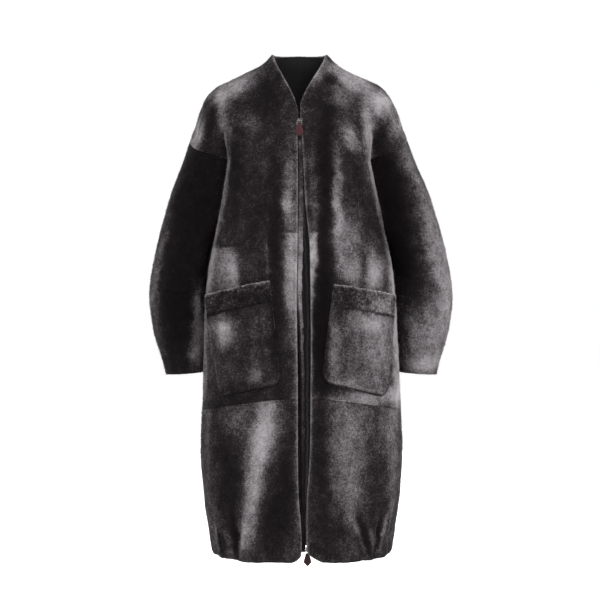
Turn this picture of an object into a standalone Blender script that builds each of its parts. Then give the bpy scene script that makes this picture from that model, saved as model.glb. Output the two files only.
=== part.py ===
# Knee-length coat of sheared shearling, hollow, hanging as it is worn.
# Metres, +Z up. The front faces -Y and the wearer's left is +X. The origin is inside the neck, where the
# coat is held.
import math
from collections import namedtuple

import bmesh
import bpy
import numpy as np
from mathutils import Matrix

# Driving dimensions
WALL = 0.007  # hide and sheared pile together
EDGE_WALL = 0.004  # where the pile is sheared down beside the zip
EDGE_FLAT, EDGE_TAPER = 0.020, 0.040  # distances from the edge between which the wall thickens
SEAM_SHIFT = 0.00022  # how far each piece's edge stands back from the seam line
ARMHOLE_BACK = 0.5  # share of it that is kept at the armhole, where the shift below is added
ARMHOLE_SHIFT = 0.0004  # how far its edge stands back from the armhole
LEAST_MITRE = 0.85  # limits how long the mitre grows where body and sleeve meet at a sharp angle

# The coat is one grid of rows, neckline to hem, by columns, from the centre front of the left side round the
# back to the centre front of the right side. These columns are counted on one side, from centre front to
# centre back.
CREASE_COL = 8  # front of the armhole
SHOULDER_COL = 10  # shoulder seam, which lies a little forward
SIDE_COL = 11  # side seam
BACK_CREASE_COL = 14
HALF_COLS = 21
DROP_ROW = 8  # dropped-shoulder seam
UNDERARM_ROW = 13
SKIRT_ROW = 22
LAST_ROW = 32
SLEEVE_ROWS = 11
ELBOW_ROW = 6

# The shoulder line as seen from the front, from the neckline down the outside of the upper arm, and how the
# row's height climbs from centre front towards it: 1 is a straight climb, more keeps the front level longer.
Shoulder = namedtuple("Shoulder", "row side_x side_z rise")
SHOULDER = [
    Shoulder(0, 0.061, 0.047, 0.56),
    Shoulder(1, 0.085, 0.023, 0.78),
    Shoulder(2, 0.117, 0.005, 1.04),
    Shoulder(3, 0.150, -0.010, 1.36),
    Shoulder(4, 0.183, -0.026, 1.60),
    Shoulder(5, 0.206, -0.050, 1.85),
    Shoulder(6, 0.222, -0.083, 2.10),
    Shoulder(7, 0.2325, -0.116, 2.40),
    Shoulder(8, 0.2440, -0.148, 2.80),
    Shoulder(13, 0.2440, -0.3375, 3.00),
]

# The body's sections: depths and heights at centre front and centre back, the half width, how square the
# front and back are (2 is an ellipse), and how far the side behind the front edge is drawn in, which leaves
# room for the sleeve.
Body = namedtuple("Body", "row front_y front_z back_y back_z width front_n back_n draw_in")
BODY = [
    Body(0, 0.100, -0.0985, 0.058, 0.052, 0.061, 1.50, 2.00, 0.000),
    Body(1, 0.106, -0.1130, 0.068, 0.030, 0.085, 1.70, 2.00, 0.000),
    Body(2, 0.111, -0.1280, 0.080, 0.008, 0.117, 1.95, 2.05, 0.000),
    Body(4, 0.119, -0.1570, 0.101, -0.045, 0.150, 2.30, 2.20, 0.000),
    Body(6, 0.125, -0.1860, 0.113, -0.112, 0.162, 2.80, 2.40, 0.000),
    Body(8, 0.129, -0.2150, 0.118, -0.184, 0.164, 3.10, 2.60, 0.000),
    Body(13, 0.137, -0.3375, 0.119, -0.3375, 0.188, 3.10, 2.70, 0.006),
    Body(17, 0.147, -0.4700, 0.122, -0.4700, 0.213, 3.00, 2.60, 0.014),
    Body(20, 0.154, -0.6200, 0.130, -0.6200, 0.222, 2.90, 2.50, 0.014),
    Body(22, 0.158, -0.7205, 0.136, -0.7205, 0.2240, 2.70, 2.40, 0.003),
    Body(26, 0.164, -0.8900, 0.143, -0.8900, 0.2235, 2.50, 2.30, 0.000),
    Body(28, 0.165, -0.9850, 0.143, -0.9850, 0.2145, 2.50, 2.30, 0.000),
    Body(29, 0.162, -1.0400, 0.139, -1.0400, 0.2060, 2.50, 2.30, 0.000),
    Body(30, 0.155, -1.0665, 0.132, -1.0665, 0.2005, 2.50, 2.30, 0.000),
    Body(31, 0.142, -1.0755, 0.119, -1.0755, 0.1880, 2.50, 2.30, 0.000),
    Body(32, 0.128, -1.0660, 0.105, -1.0660, 0.1740, 2.50, 2.30, 0.000),
]
SEAM_DIP = 0.031  # the skirt seam lies this much lower at the sides than at the centres
DIP_ROWS = 4.5  # rows above and below it over which the dip fades
DIP_SHARES = 0.05, 0.75  # shares of the way to the side between which it comes in
DRAW_IN_FROM, DRAW_IN_TO = -0.066, -0.020  # depths between which the side is drawn in
DRAW_IN_SHARES = 0.35, 0.9  # and the shares of the half width between which that fades in
CREASE_SHARE = 0.64  # the armhole's front lies this far along a row from centre front to the side
TUCK_FROM = 0.86  # share of the front after which it curls in towards the crease
ARM_PULL_FROM = 0.35  # share of the arm's bulge after which it bends to meet the crease

# The armhole crease on the body, and the bulge of the upper arm behind it.
Fold = namedtuple("Fold", "row depth front_y back_y arm_depth tuck")
FOLD = [
    Fold(0, 0.0, 0.045, 0.045, 0.070, 0.000),
    Fold(3, 0.0, 0.045, 0.045, 0.070, 0.000),
    Fold(5, 0.35, 0.045, 0.045, 0.070, 0.004),
    Fold(8, 1.0, 0.038, 0.042, 0.070, 0.010),
    Fold(13, 1.0, 0.024, 0.026, 0.070, 0.004),
    Fold(22, 1.0, 0.050, 0.040, 0.070, 0.000),
    Fold(32, 1.0, 0.060, 0.050, 0.070, 0.000),
]

# How far the coat leans towards the wearer's right as it hangs.
Lean = namedtuple("Lean", "z x")
LEAN = [
    Lean(-1.2, 0.0005),
    Lean(-0.75, 0.0),
    Lean(-0.50, -0.002),
    Lean(-0.30, -0.0030),
    Lean(-0.15, -0.0062),
    Lean(-0.04, -0.0068),
    Lean(0.06, -0.0040),
]

# The sleeve's rows below the armhole: their outer and inner points seen from the front, their middle and half
# depth.
Sleeve = namedtuple("Sleeve", "row outer_x outer_z inner_x inner_z mid_y half_depth")
SLEEVE = [
    Sleeve(0, 0.2440, -0.148, 0.180, -0.3375, 0.006, 0.066),
    Sleeve(2, 0.2920, -0.264, 0.193, -0.388, 0.016, 0.074),
    Sleeve(4, 0.3245, -0.378, 0.201, -0.442, 0.019, 0.078),
    Sleeve(6, 0.3420, -0.482, 0.2045, -0.496, 0.019, 0.078),
    Sleeve(8, 0.3345, -0.568, 0.2100, -0.566, 0.017, 0.073),
    Sleeve(10, 0.3135, -0.642, 0.2155, -0.635, 0.014, 0.064),
    Sleeve(11, 0.3050, -0.674, 0.2175, -0.668, 0.013, 0.060),
]
SLEEVE_SETTLES = 4.0  # rows over which the armhole's outline becomes the sleeve's round one
SLEEVE_EVENS = 0.75  # how far its points spread evenly round it over those rows

# The two front edges, the closed zip's middle between them, and how far it sinks in further at the hem.
Edge = namedtuple("Edge", "z right left zip_x sink")
EDGES = [
    Edge(-0.095, -0.0069, -0.0029, -0.0049, 0.0),
    Edge(-0.125, -0.0074, -0.0022, -0.0047, 0.0),
    Edge(-0.150, -0.0085, 0.0000, -0.0035, 0.0),
    Edge(-0.200, -0.0080, 0.0030, -0.0012, 0.0),
    Edge(-0.290, -0.0080, 0.0080, 0.0031, 0.0),
    Edge(-0.390, -0.0085, 0.0178, 0.0074, 0.0),
    Edge(-0.470, -0.0100, 0.0195, 0.0120, 0.0),
    Edge(-0.700, -0.0078, 0.0200, 0.0126, 0.0),
    Edge(-0.860, -0.0075, 0.0172, 0.0125, 0.0),
    Edge(-0.930, -0.0060, 0.0118, 0.0105, 0.0006),
    Edge(-1.000, -0.0005, 0.0110, 0.0112, 0.0035),
    Edge(-1.040, 0.0005, 0.0118, 0.0127, 0.0060),
    Edge(-1.052, 0.0000, 0.0138, 0.0130, 0.0064),
    Edge(-1.060, -0.0020, 0.0217, 0.0130, 0.0064),
    Edge(-1.067, -0.0080, 0.0320, 0.0130, 0.0064),
    Edge(-1.0755, -0.0200, 0.0450, 0.0130, 0.0064),
]

# Soft hanging folds: where, measured round the body from centre front (right side negative), between which
# heights, how wide, and how far out or in. The two places let a fold slant.
HANG_FADES = 0.45  # share of a fold's length over which it comes in
Hang = namedtuple("Hang", "top_at low_at top_z low_z width out")
HANGS = [
    Hang(-0.030, -0.026, -0.16, -1.04, 0.020, 0.0030),
    Hang(-0.058, -0.060, -0.24, -1.04, 0.022, -0.0050),
    Hang(0.046, 0.044, -0.15, -1.00, 0.022, -0.0050),
    Hang(0.080, 0.090, -0.17, -0.60, 0.024, 0.0035),
    Hang(-0.128, -0.112, -0.66, -1.06, 0.030, 0.0050),
    Hang(-0.165, -0.165, -0.86, -1.08, 0.022, -0.0110),
    Hang(-0.235, -0.232, -0.92, -1.08, 0.018, -0.0080),
    Hang(0.150, 0.146, -0.84, -1.08, 0.024, -0.0070),
    Hang(0.196, 0.190, -0.90, -1.08, 0.020, -0.0090),
    Hang(0.245, 0.240, -0.92, -1.08, 0.018, -0.0080),
    Hang(0.330, 0.335, -0.88, -1.08, 0.024, -0.0080),
    Hang(-0.325, -0.330, -0.90, -1.08, 0.024, -0.0080),
    Hang(0.420, 0.430, -0.80, -1.08, 0.030, -0.0070),
    Hang(-0.430, -0.425, -0.84, -1.08, 0.030, -0.0070),
    Hang(0.520, 0.505, -0.30, -1.06, 0.034, -0.0050),
    Hang(-0.515, -0.510, -0.34, -1.06, 0.036, -0.0050),
]

# Patch pockets: corners as distance round the body from centre front and height.
Pocket = namedtuple("Pocket", "top_in top_in_z top_out top_out_z low_in low_in_z low_out low_out_z")
POCKETS = {
    "right": Pocket(0.066, -0.464, 0.225, -0.499, 0.045, -0.690, 0.184, -0.720),
    "left": Pocket(0.072, -0.472, 0.222, -0.499, 0.044, -0.683, 0.194, -0.721),
}
POCKET_WALL = 0.005
POCKET_BULGE = 0.0115  # the bag stands off the front by this much in its middle
POCKET_MOUTH = 0.0140  # and by this much at its mouth
POCKET_SINK = 0.0018  # clearance of its sewn edge from the front
BAND_DEPTH = 0.045  # the band's share of the pocket's height, measured down from the mouth
POCKET_COLS, POCKET_ROWS, BAND_ROWS = 9, 8, 2
CORNER_ROUND = 0.028
BULGE_FROM = 0.5  # share of the pocket's height below which the bag has its full bulge

# Zip
TAPE_FROM, TAPE_TO = 0.0030, 0.0145  # from the zip's middle
TAPE_DEPTH, TAPE_WALL = 0.0048, 0.0008
CHAIN_HALF, CHAIN_DEPTH, CHAIN_WALL = 0.0026, 0.0044, 0.0020
ZIP_TOP, ZIP_LOW = -0.1205, -1.0385
STRIP_DEPTH, STRIP_WALL = 0.0018, 0.0022
STRIP_TOP, STRIP_LOW = -0.152, -0.960
STRIP_GAP = 0.0012
STRIP_WIDTH = 0.0100
END_GAP = 0.004  # least height between a strip's end and its next row of points

# Sliders and pulls. Each slider sits at an end of the closed chain, and a wire lug carries its pull.
SLIDER_WIDTH, SLIDER_THICK, SLIDER_HEIGHT = 0.0080, 0.0034, 0.0104
SLIDER_DEPTH = 0.0060  # its front face, behind the coat's front
SLIDER_ROUND = 0.0009
LUG_WIRE, LUG_HALF = 0.0006, 0.0021
LUG_CORNER = 0.0020
LINK_PLAY = 0.0004  # between the lug's wire and the link's
LINK_WIRE, LINK_HALF, LINK_LENGTH, LINK_CORNER = 0.0006, 0.0052, 0.0092, 0.0010
TAB_HALF, TAB_TOP_HALF, TAB_LENGTH, TAB_THICK = 0.00915, 0.0036, 0.0292, 0.0032
TAB_SHOULDER = 0.0195  # from the tab's top down to its widest place
TAB_ROUND = 0.0007
TUNNEL_RADIUS, TUNNEL_DOWN = 0.00095, 0.0019  # the link's lower bar runs through the tab here
TUNNEL_CUT = 0.02
# The slider's middle, how deep the hinge lies behind the coat's front, and how far the tab leans, in degrees.
Pull = namedtuple("Pull", "z hinge_depth tilt")
PULLS = {"top": Pull(-0.1145, -0.0027, 14.5), "bottom": Pull(-1.0445, 0.0088, 0.0)}

WELD = 1e-6
ROW_TRIES = 3
SHARP_ANGLE = 50  # degrees
SAMPLES = 160
PAST_CENTRE = 40  # samples by which the front's curve is carried on past centre front
ARM_SWING = 128  # degrees of the upper arm's bulge on each side of its outermost point

Paint = namedtuple("Paint", "colour roughness metallic")
PAINTS = {
    "dark_pile": Paint((0.045, 0.040, 0.042), 0.95, 0.0),
    "grey_pile": Paint((0.120, 0.110, 0.114), 0.95, 0.0),
    "band_pile": Paint((0.075, 0.068, 0.068), 0.95, 0.0),
    "zip_tape": Paint((0.012, 0.011, 0.012), 0.80, 0.0),
    "zip_metal": Paint((0.30, 0.28, 0.26), 0.35, 1.0),
    "pull_leather": Paint((0.13, 0.045, 0.040), 0.50, 0.0),
}


def smooth_step(low, high, value):
    share = np.clip((value - low) / (high - low), 0.0, 1.0)
    return share * share * (3.0 - 2.0 * share)


def between(table, at):
    """The table's row at this place in its first column, as a smooth curve through its rows."""
    places = np.array([row[0] for row in table], float)
    order = np.argsort(places)
    places = places[order]
    values = np.array([tuple(table[i]) for i in order], float)
    slopes = np.gradient(values, places, axis=0)
    at = min(max(at, places[0]), places[-1])
    i = min(int(np.searchsorted(places, at, side="right")) - 1, len(places) - 2)
    span = places[i + 1] - places[i]
    t = (at - places[i]) / span
    h00, h10 = (1 + 2 * t) * (1 - t) ** 2, t * (1 - t) ** 2
    h01, h11 = t * t * (3 - 2 * t), t * t * (t - 1)
    start = h00 * values[i] + h10 * span * slopes[i]
    end = h01 * values[i + 1] + h11 * span * slopes[i + 1]
    return type(table[0])(*(start + end))


def lobe(angles, width, front, back, front_n, back_n):
    """Points of a squarish oval in plan, from centre front (angle 0) to centre back (pi)."""
    s, c = np.abs(np.sin(angles)), np.cos(angles)
    n = np.where(c > 0, front_n, back_n)
    depth = np.where(c > 0, front, back)
    x = width * s ** (2 / n)
    y = -np.sign(c) * depth * np.abs(c) ** (2 / n)
    return np.stack([x, y], axis=1)


def distances(points):
    """How far along the curve each of its points is."""
    return np.concatenate([[0.0], np.cumsum(np.linalg.norm(np.diff(points, axis=0), axis=1))])


def resampled(points, count):
    along = distances(points)
    places = np.linspace(0.0, along[-1], count)
    return np.stack([np.interp(places, along, points[:, i]) for i in range(points.shape[1])], axis=1)


def drawn_in(points, share):
    """The side behind the front edge pulled towards the middle."""
    pull = share * smooth_step(DRAW_IN_FROM, DRAW_IN_TO, points[:, 1])
    side = smooth_step(*DRAW_IN_SHARES, np.abs(points[:, 0]) / np.abs(points[:, 0]).max())
    moved = points.copy()
    moved[:, 0] -= pull * side * np.sign(points[:, 0])
    return moved


def cut_at(points, first, side, last):
    """A curve cut at three distances along it, as four runs of evenly spaced points."""
    steps = distances(points)
    ends = [0.0, first, side, last, steps[-1]]
    runs = []
    for low, high in zip(ends, ends[1:]):
        places = np.linspace(low, high, SAMPLES)
        runs.append(np.stack([np.interp(places, steps, points[:, i]) for i in (0, 1)], axis=1))
    return runs


def plan_of(row):
    """One side of a row in plan, in four runs: centre front to the armhole's front, on to the side, on to the
    armhole's back, and on to centre back."""
    body, fold = between(BODY, row), between(FOLD, row)
    angles = np.linspace(0.0, math.pi, 4 * SAMPLES)
    shape = body.front_y, body.back_y, body.front_n, body.back_n
    oval = drawn_in(lobe(angles, body.width, *shape), body.draw_in)
    steps = distances(oval)
    front_at = math.acos(min(1.0, (fold.front_y / body.front_y)) ** (body.front_n / 2))
    back_at = math.pi - math.acos(min(1.0, (fold.back_y / body.back_y)) ** (body.back_n / 2))
    cuts = np.interp([front_at, math.pi / 2, back_at], angles, steps)
    folded = cut_at(oval, *cuts)
    curl = fold.tuck * smooth_step(TUCK_FROM, 1.0, np.linspace(0.0, 1.0, SAMPLES))
    folded[0][:, 0] -= curl
    folded[3][:, 0] -= curl[::-1]
    if row > DROP_ROW:
        return folded
    shoulder = between(SHOULDER, row)
    arm_half = 0.5 * (shoulder.side_x - folded[0][-1, 0])
    turns = np.linspace(0.0, 1.0, SAMPLES)
    swing = turns * math.radians(ARM_SWING)
    arc_x = shoulder.side_x - arm_half + arm_half * np.cos(swing)
    arc = np.stack([arc_x, fold.arm_depth * np.sin(swing)], axis=1)
    pull = smooth_step(ARM_PULL_FROM, 1.0, turns)[:, None]
    to_back = arc + pull * (folded[3][0] - arc[-1])
    to_front = arc * (1, -1)
    to_front = to_front + pull * (folded[0][-1] - to_front[-1])
    folded[1] = resampled(to_front[::-1], SAMPLES)
    folded[2] = resampled(to_back, SAMPLES)
    whole = lobe(angles, shoulder.side_x, *shape)
    steps = distances(whole)
    side = float(np.interp(math.pi / 2, angles, steps))
    plain = cut_at(whole, CREASE_SHARE * side, side, steps[-1] - CREASE_SHARE * (steps[-1] - side))
    return [bare + fold.depth * (bent - bare) for bare, bent in zip(plain, folded)]


def heights(row, shares, is_back):
    """Heights along a row, at shares of the way from the centre (0) to the side (1)."""
    body = between(BODY, row)
    if row >= UNDERARM_ROW:
        fade = 1.0 - smooth_step(0.0, DIP_ROWS, abs(row - SKIRT_ROW))
        return body.front_z - SEAM_DIP * fade * smooth_step(*DIP_SHARES, shares)
    shoulder = between(SHOULDER, row)
    centre = body.back_z if is_back else body.front_z
    rise = shoulder.rise if not is_back else max(1.0, shoulder.rise)
    return centre + (shoulder.side_z - centre) * np.clip(shares, 0.0, 1.0) ** rise


def lean_at(z):
    return np.array([between(LEAN, float(value)).x for value in np.atleast_1d(z)])


def row_curve(row):
    """One side of a row as four dense runs in space."""
    shares = np.linspace(0, CREASE_SHARE, SAMPLES), np.linspace(CREASE_SHARE, 1, SAMPLES)
    levels = [
        heights(row, shares[0], False),
        heights(row, shares[1], False),
        heights(row, shares[1][::-1], True),
        heights(row, shares[0][::-1], True),
    ]
    return [np.column_stack([run, level]) for run, level in zip(plan_of(row), levels)]


def hang_offset(around, z):
    """How far the soft folds push the cloth out here."""
    total = 0.0
    for fold in HANGS:
        span = fold.top_z - fold.low_z
        down = np.clip((fold.top_z - z) / span, 0.0, 1.0)
        centre = fold.top_at + (fold.low_at - fold.top_at) * down
        strength = smooth_step(0.0, HANG_FADES, down)
        total = total + fold.out * strength * np.exp(-(((around - centre) / fold.width) ** 2))
    return total


def from_centre(x, z, side):
    """A place near centre front as a distance from the side's own centre line."""
    return float((x - lean_at(z)[0]) * side)


def edge_at(z, side):
    row = between(EDGES, z)
    return from_centre(row.left if side > 0 else row.right, z, side)


def across_front(runs):
    """The front of a row, carried on past centre front, with its distances from there."""
    front = runs[0]
    past = front[1:PAST_CENTRE][::-1] * (-1, 1, 1)
    line = np.concatenate([past, front])
    steps = distances(line[:, :2])
    return line, steps - steps[len(past)]


def body_row(row, side):
    """The row's grid points on one side, centre front to centre back, and their distances round the body."""
    runs = row_curve(row)
    line, steps = across_front(runs)
    edge = np.interp(edge_at(runs[0][0, 2], side), line[:, 0], steps)
    places = np.linspace(edge, steps[-1], CREASE_COL + 1)
    counts = SIDE_COL - CREASE_COL, BACK_CREASE_COL - SIDE_COL, HALF_COLS - BACK_CREASE_COL
    parts = [np.stack([np.interp(places, steps, line[:, i]) for i in range(3)], axis=1)]
    parts += [resampled(run, count + 1)[1:] for run, count in zip(runs[1:], counts)]
    points = np.concatenate(parts)
    around = places[0] + distances(points[:, :2])
    points[:, 0] *= side
    points[:, 0] += lean_at(points[:, 2])
    return points, around * side


def grid_normals(points):
    """Outward unit normals of a grid whose columns run from the left front round the back."""
    down = np.gradient(points, axis=0)
    across = np.gradient(points, axis=1)
    normals = np.cross(down, across)
    return normals / np.maximum(np.linalg.norm(normals, axis=2, keepdims=True), 1e-12)


def body_grid():
    rows = range(LAST_ROW + 1)
    left = [body_row(row, 1) for row in rows]
    right = [body_row(row, -1) for row in rows]
    points = np.array([np.concatenate([a[0], b[0][::-1][1:]]) for a, b in zip(left, right)])
    around = np.array([np.concatenate([a[1], b[1][::-1][1:]]) for a, b in zip(left, right)])
    outward = grid_normals(points) * (1, 1, 0)
    outward /= np.maximum(np.linalg.norm(outward, axis=2, keepdims=True), 1e-9)
    points = points + outward * hang_offset(around, points[:, :, 2])[:, :, None]
    return points, grid_normals(points), around


def window_loop(points, side):
    """The armhole's grid places, from under the arm up the front crease, over the arm and down the back."""
    def col(c):
        return c if side > 0 else 2 * HALF_COLS - c

    loop = [(UNDERARM_ROW, col(c)) for c in range(SIDE_COL, CREASE_COL, -1)]
    loop += [(r, col(CREASE_COL)) for r in range(UNDERARM_ROW, DROP_ROW, -1)]
    loop += [(DROP_ROW, col(c)) for c in range(CREASE_COL, BACK_CREASE_COL)]
    loop += [(r, col(BACK_CREASE_COL)) for r in range(DROP_ROW, UNDERARM_ROW)]
    loop += [(UNDERARM_ROW, col(c)) for c in range(BACK_CREASE_COL, SIDE_COL - 1, -1)]
    return loop


def sleeve_grid(points, side):
    """The sleeve's rows, from the armhole to the cuff, each from under the arm round the front."""
    armhole = np.array([points[place] for place in window_loop(points, side)])
    armhole[:, 0] -= lean_at(armhole[:, 2])
    armhole[:, 0] *= side
    start = between(SLEEVE, 0)
    outer = np.array([start.outer_x, 0.0, start.outer_z])
    inner = np.array([start.inner_x, 0.0, start.inner_z])
    centre, reach = (outer + inner) / 2, (outer - inner) / 2
    centre[1] = start.mid_y
    size = np.linalg.norm(reach)
    direction = reach / size
    axis = np.array([direction[2], 0.0, -direction[0]])
    offset = armhole - centre
    across = offset @ direction / size
    deep = offset[:, 1] / start.half_depth
    along = offset @ axis
    natural = np.unwrap(np.arctan2(-deep, across))
    if natural[-1] > natural[0]:
        natural = -natural
    radius = np.hypot(across, deep)
    even = np.linspace(math.pi, -math.pi, len(armhole))
    natural = natural - natural.mean()
    rows = []
    for row in range(SLEEVE_ROWS + 1):
        now = between(SLEEVE, row)
        outer = np.array([now.outer_x, now.mid_y, now.outer_z])
        inner = np.array([now.inner_x, now.mid_y, now.inner_z])
        centre, reach = (outer + inner) / 2, (outer - inner) / 2
        direction = reach / np.linalg.norm(reach)
        axis = np.array([direction[2], 0.0, -direction[0]])
        settled = float(smooth_step(0.0, SLEEVE_SETTLES, row))
        angle = natural + (even - natural) * settled * SLEEVE_EVENS
        size = radius + (1.0 - radius) * settled
        ring = centre + np.outer(size * np.cos(angle), reach)
        ring[:, 1] += -size * np.sin(angle) * now.half_depth
        ring += np.outer(along * (1.0 - settled), axis)
        rows.append(ring if row else armhole)
    grid = np.array(rows)
    grid[:, :, 0] *= side
    grid[:, :, 0] += lean_at(grid[:, :, 2].ravel()).reshape(grid.shape[:2])
    normals = grid_normals(grid) * side
    seam = normals[:, 0] + normals[:, -1]
    normals[:, 0] = normals[:, -1] = seam / np.linalg.norm(seam, axis=1, keepdims=True)
    return grid, normals


def shared_seam(points, normals, grid, sleeve_normals, side):
    """The armhole's points, each with one wall direction for both pieces, so that the walls meet in a mitre,
    and the direction across the seam towards the sleeve."""
    loop = window_loop(points, side)
    for i, place in enumerate(loop):
        way = normals[place] + sleeve_normals[0, i]
        way /= np.linalg.norm(way)
        along = points[loop[min(i + 1, len(loop) - 1)]] - points[loop[max(i - 1, 0)]]
        across = np.cross(along, way)
        across /= np.linalg.norm(across)
        if across @ (grid[1, i] - grid[0, i]) < 0:
            across = -across
        yield place, i, way / max(LEAST_MITRE, float(way @ sleeve_normals[0, i])), across


def material(name):
    found = bpy.data.materials.get(name)
    if found:
        return found
    paint = PAINTS[name]
    found = bpy.data.materials.new(name)
    found.use_nodes = True
    shader = found.node_tree.nodes["Principled BSDF"]
    shader.inputs["Base Color"].default_value = (*paint.colour, 1.0)
    shader.inputs["Roughness"].default_value = paint.roughness
    shader.inputs["Metallic"].default_value = paint.metallic
    return found


def wall(name, points, inner, cells, paint, coat, apart=None):
    """A closed wall over the chosen cells of a grid, between its outer and inner points. apart adds to the
    move of some edge points."""
    rows, cols = points.shape[0] - 1, points.shape[1] - 1
    mesh = bmesh.new()
    bmesh.ops.create_grid(mesh, x_segments=cols, y_segments=rows, size=0.5)
    for vert in mesh.verts:
        vert.co = (round((vert.co.x + 0.5) * cols), round((vert.co.y + 0.5) * rows), 0.0)
    outside = []
    for face in mesh.faces:
        middle = face.calc_center_median()
        if (int(middle.y), int(middle.x)) not in cells:
            outside.append(face)
    bmesh.ops.delete(mesh, geom=outside, context="FACES")
    pushed = bmesh.ops.extrude_face_region(mesh, geom=list(mesh.faces), use_keep_orig=True)
    for item in pushed["geom"]:
        if isinstance(item, bmesh.types.BMVert):
            item.co.z = 1.0
    shifts = stand_back(points, cells)
    for place, way in (apart or {}).items():
        if place in shifts:
            shifts[place] = shifts[place] * ARMHOLE_BACK + way * ARMHOLE_SHIFT
    for vert in mesh.verts:
        place = (round(vert.co.y), round(vert.co.x))
        skin = points if vert.co.z < 0.5 else inner
        vert.co = skin[place] + shifts.get(place, 0.0)
    bmesh.ops.triangulate(mesh, faces=mesh.faces, quad_method="SHORT_EDGE")
    bmesh.ops.recalc_face_normals(mesh, faces=mesh.faces)
    return finish(name, mesh, paint, coat)


def stand_back(points, cells):
    """How far each edge point of a piece moves into the piece, to leave the seam's gap."""
    ways = {}
    for row, col in cells:
        middle = points[row : row + 2, col : col + 2].mean(axis=(0, 1))
        corners = (row, col), (row, col + 1), (row + 1, col + 1), (row + 1, col)
        beyond = (row - 1, col), (row, col + 1), (row + 1, col), (row, col - 1)
        for i, other in enumerate(beyond):
            if other in cells:
                continue
            start, end = corners[i], corners[(i + 1) % 4]
            along = points[end] - points[start]
            along /= np.linalg.norm(along)
            inward = middle - points[start]
            inward -= along * (inward @ along)
            inward /= np.linalg.norm(inward)
            for place in (start, end):
                ways.setdefault(place, []).append(inward)
    means = {place: np.mean(found, axis=0) for place, found in ways.items()}
    return {place: mean / (mean @ mean) * SEAM_SHIFT for place, mean in means.items()}


def finish(name, mesh, paint, coat):
    data = bpy.data.meshes.new(name)
    mesh.to_mesh(data)
    mesh.free()
    data.shade_smooth()
    data.set_sharp_from_angle(angle=math.radians(SHARP_ANGLE))
    data.materials.append(material(paint))
    made = bpy.data.objects.new(name, data)
    coat.objects.link(made)
    return made


def cells_of(row_from, row_to, col_from, col_to):
    return {(row, col) for row in range(row_from, row_to) for col in range(col_from, col_to)}


def mirrored_cells(cells):
    return {(row, 2 * HALF_COLS - 1 - col) for row, col in cells}


def build_body(points, inner, apart, coat):
    front = (
        cells_of(0, DROP_ROW, 0, SHOULDER_COL)
        | cells_of(DROP_ROW, UNDERARM_ROW, 0, CREASE_COL)
        | cells_of(UNDERARM_ROW, SKIRT_ROW, 0, SIDE_COL)
    )
    skirt = cells_of(SKIRT_ROW, LAST_ROW, 0, SIDE_COL)
    half_back = (
        cells_of(0, DROP_ROW, SHOULDER_COL, HALF_COLS)
        | cells_of(DROP_ROW, UNDERARM_ROW, BACK_CREASE_COL, HALF_COLS)
        | cells_of(UNDERARM_ROW, SKIRT_ROW, SIDE_COL, HALF_COLS)
    )
    half_skirt = cells_of(SKIRT_ROW, LAST_ROW, SIDE_COL, HALF_COLS)
    wall("front_left", points, inner, front, "dark_pile", coat, apart)
    wall("front_right", points, inner, mirrored_cells(front), "dark_pile", coat, apart)
    wall("front_skirt_left", points, inner, skirt, "grey_pile", coat, apart)
    wall("front_skirt_right", points, inner, mirrored_cells(skirt), "grey_pile", coat, apart)
    wall("back", points, inner, half_back | mirrored_cells(half_back), "dark_pile", coat, apart)
    wall("back_skirt", points, inner, half_skirt | mirrored_cells(half_skirt), "grey_pile", coat, apart)


def build_sleeve(name, grid, inner, apart, coat):
    cols = grid.shape[1] - 1
    upper, lower = cells_of(0, ELBOW_ROW, 0, cols), cells_of(ELBOW_ROW, SLEEVE_ROWS, 0, cols)
    wall(f"sleeve_{name}", grid, inner, upper, "dark_pile", coat, apart)
    wall(f"sleeve_lower_{name}", grid, inner, lower, "grey_pile", coat)


class Skin:
    """One front as a surface: its points and outward directions, by distance round the body and by height."""

    def __init__(self, points, normals, around, side):
        self.side = side
        self.points, self.normals, self.around = points, normals, around
        if side < 0:
            self.points, self.normals = points[:, ::-1], normals[:, ::-1]
            self.around = -around[:, ::-1]
        self.levels = self.points[:, 0, 2]

    def row_at(self, keys, key, z):
        """The row, as a fraction, that has this height where its keys reach this value."""
        row = LAST_ROW / 2
        for _ in range(ROW_TRIES):
            marks = keys[int(row), : SIDE_COL + 1]
            levels = [np.interp(key, marks, line[: SIDE_COL + 1]) for line in self.points[:LAST_ROW, :, 2]]
            row = float(np.interp(-z, -np.array(levels), np.arange(LAST_ROW)))
        return row

    def place(self, keys, key, z, out):
        """The point where a row's keys reach this value, moved out along the surface's own direction."""
        row = self.row_at(keys, key, z)
        low = min(int(row), LAST_ROW - 2)
        found = 0.0
        for line, share in ((low, 1.0 - (row - low)), (low + 1, row - low)):
            marks = keys[line, : SIDE_COL + 1]
            col = min(max(int(np.searchsorted(marks, key)) - 1, 0), SIDE_COL - 1)
            step = (key - marks[col]) / (marks[col + 1] - marks[col])
            for corner, part in ((col, 1.0 - step), (col + 1, step)):
                spot = self.points[line, corner] + self.normals[line, corner] * out
                found = found + share * part * spot
        return found

    def at(self, around, z, out=0.0):
        return self.place(self.around, around, z, out)

    def at_x(self, x, z, out=0.0):
        """As at(), for a place near centre front given by its x."""
        return self.place(self.points[:, :, 0] * self.side, x * self.side, z, out)


def behind_fronts(skins, x, z, depth):
    """A place this deep behind the two fronts, and on a straight line between them where they stand apart."""
    edges = between(EDGES, z)
    share = min(max((x - edges.right) / (edges.left - edges.right), 0.0), 1.0)
    on_left, on_right = skins["left"].at_x(x, z, -depth), skins["right"].at_x(x, z, -depth)
    return on_left * share + on_right * (1.0 - share)


def ribbon(name, skins, stations, sides, depth, thickness, paint, coat):
    """A narrow strip down the closure. sides gives its edges at a height, and depth how far back it lies."""

    def layer(more):
        return np.array([[behind_fronts(skins, x, z, depth(z) + more) for x in sides(z)] for z in stations])

    wall(name, layer(0.0), layer(thickness), cells_of(0, len(stations) - 1, 0, 1), paint, coat)


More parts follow.
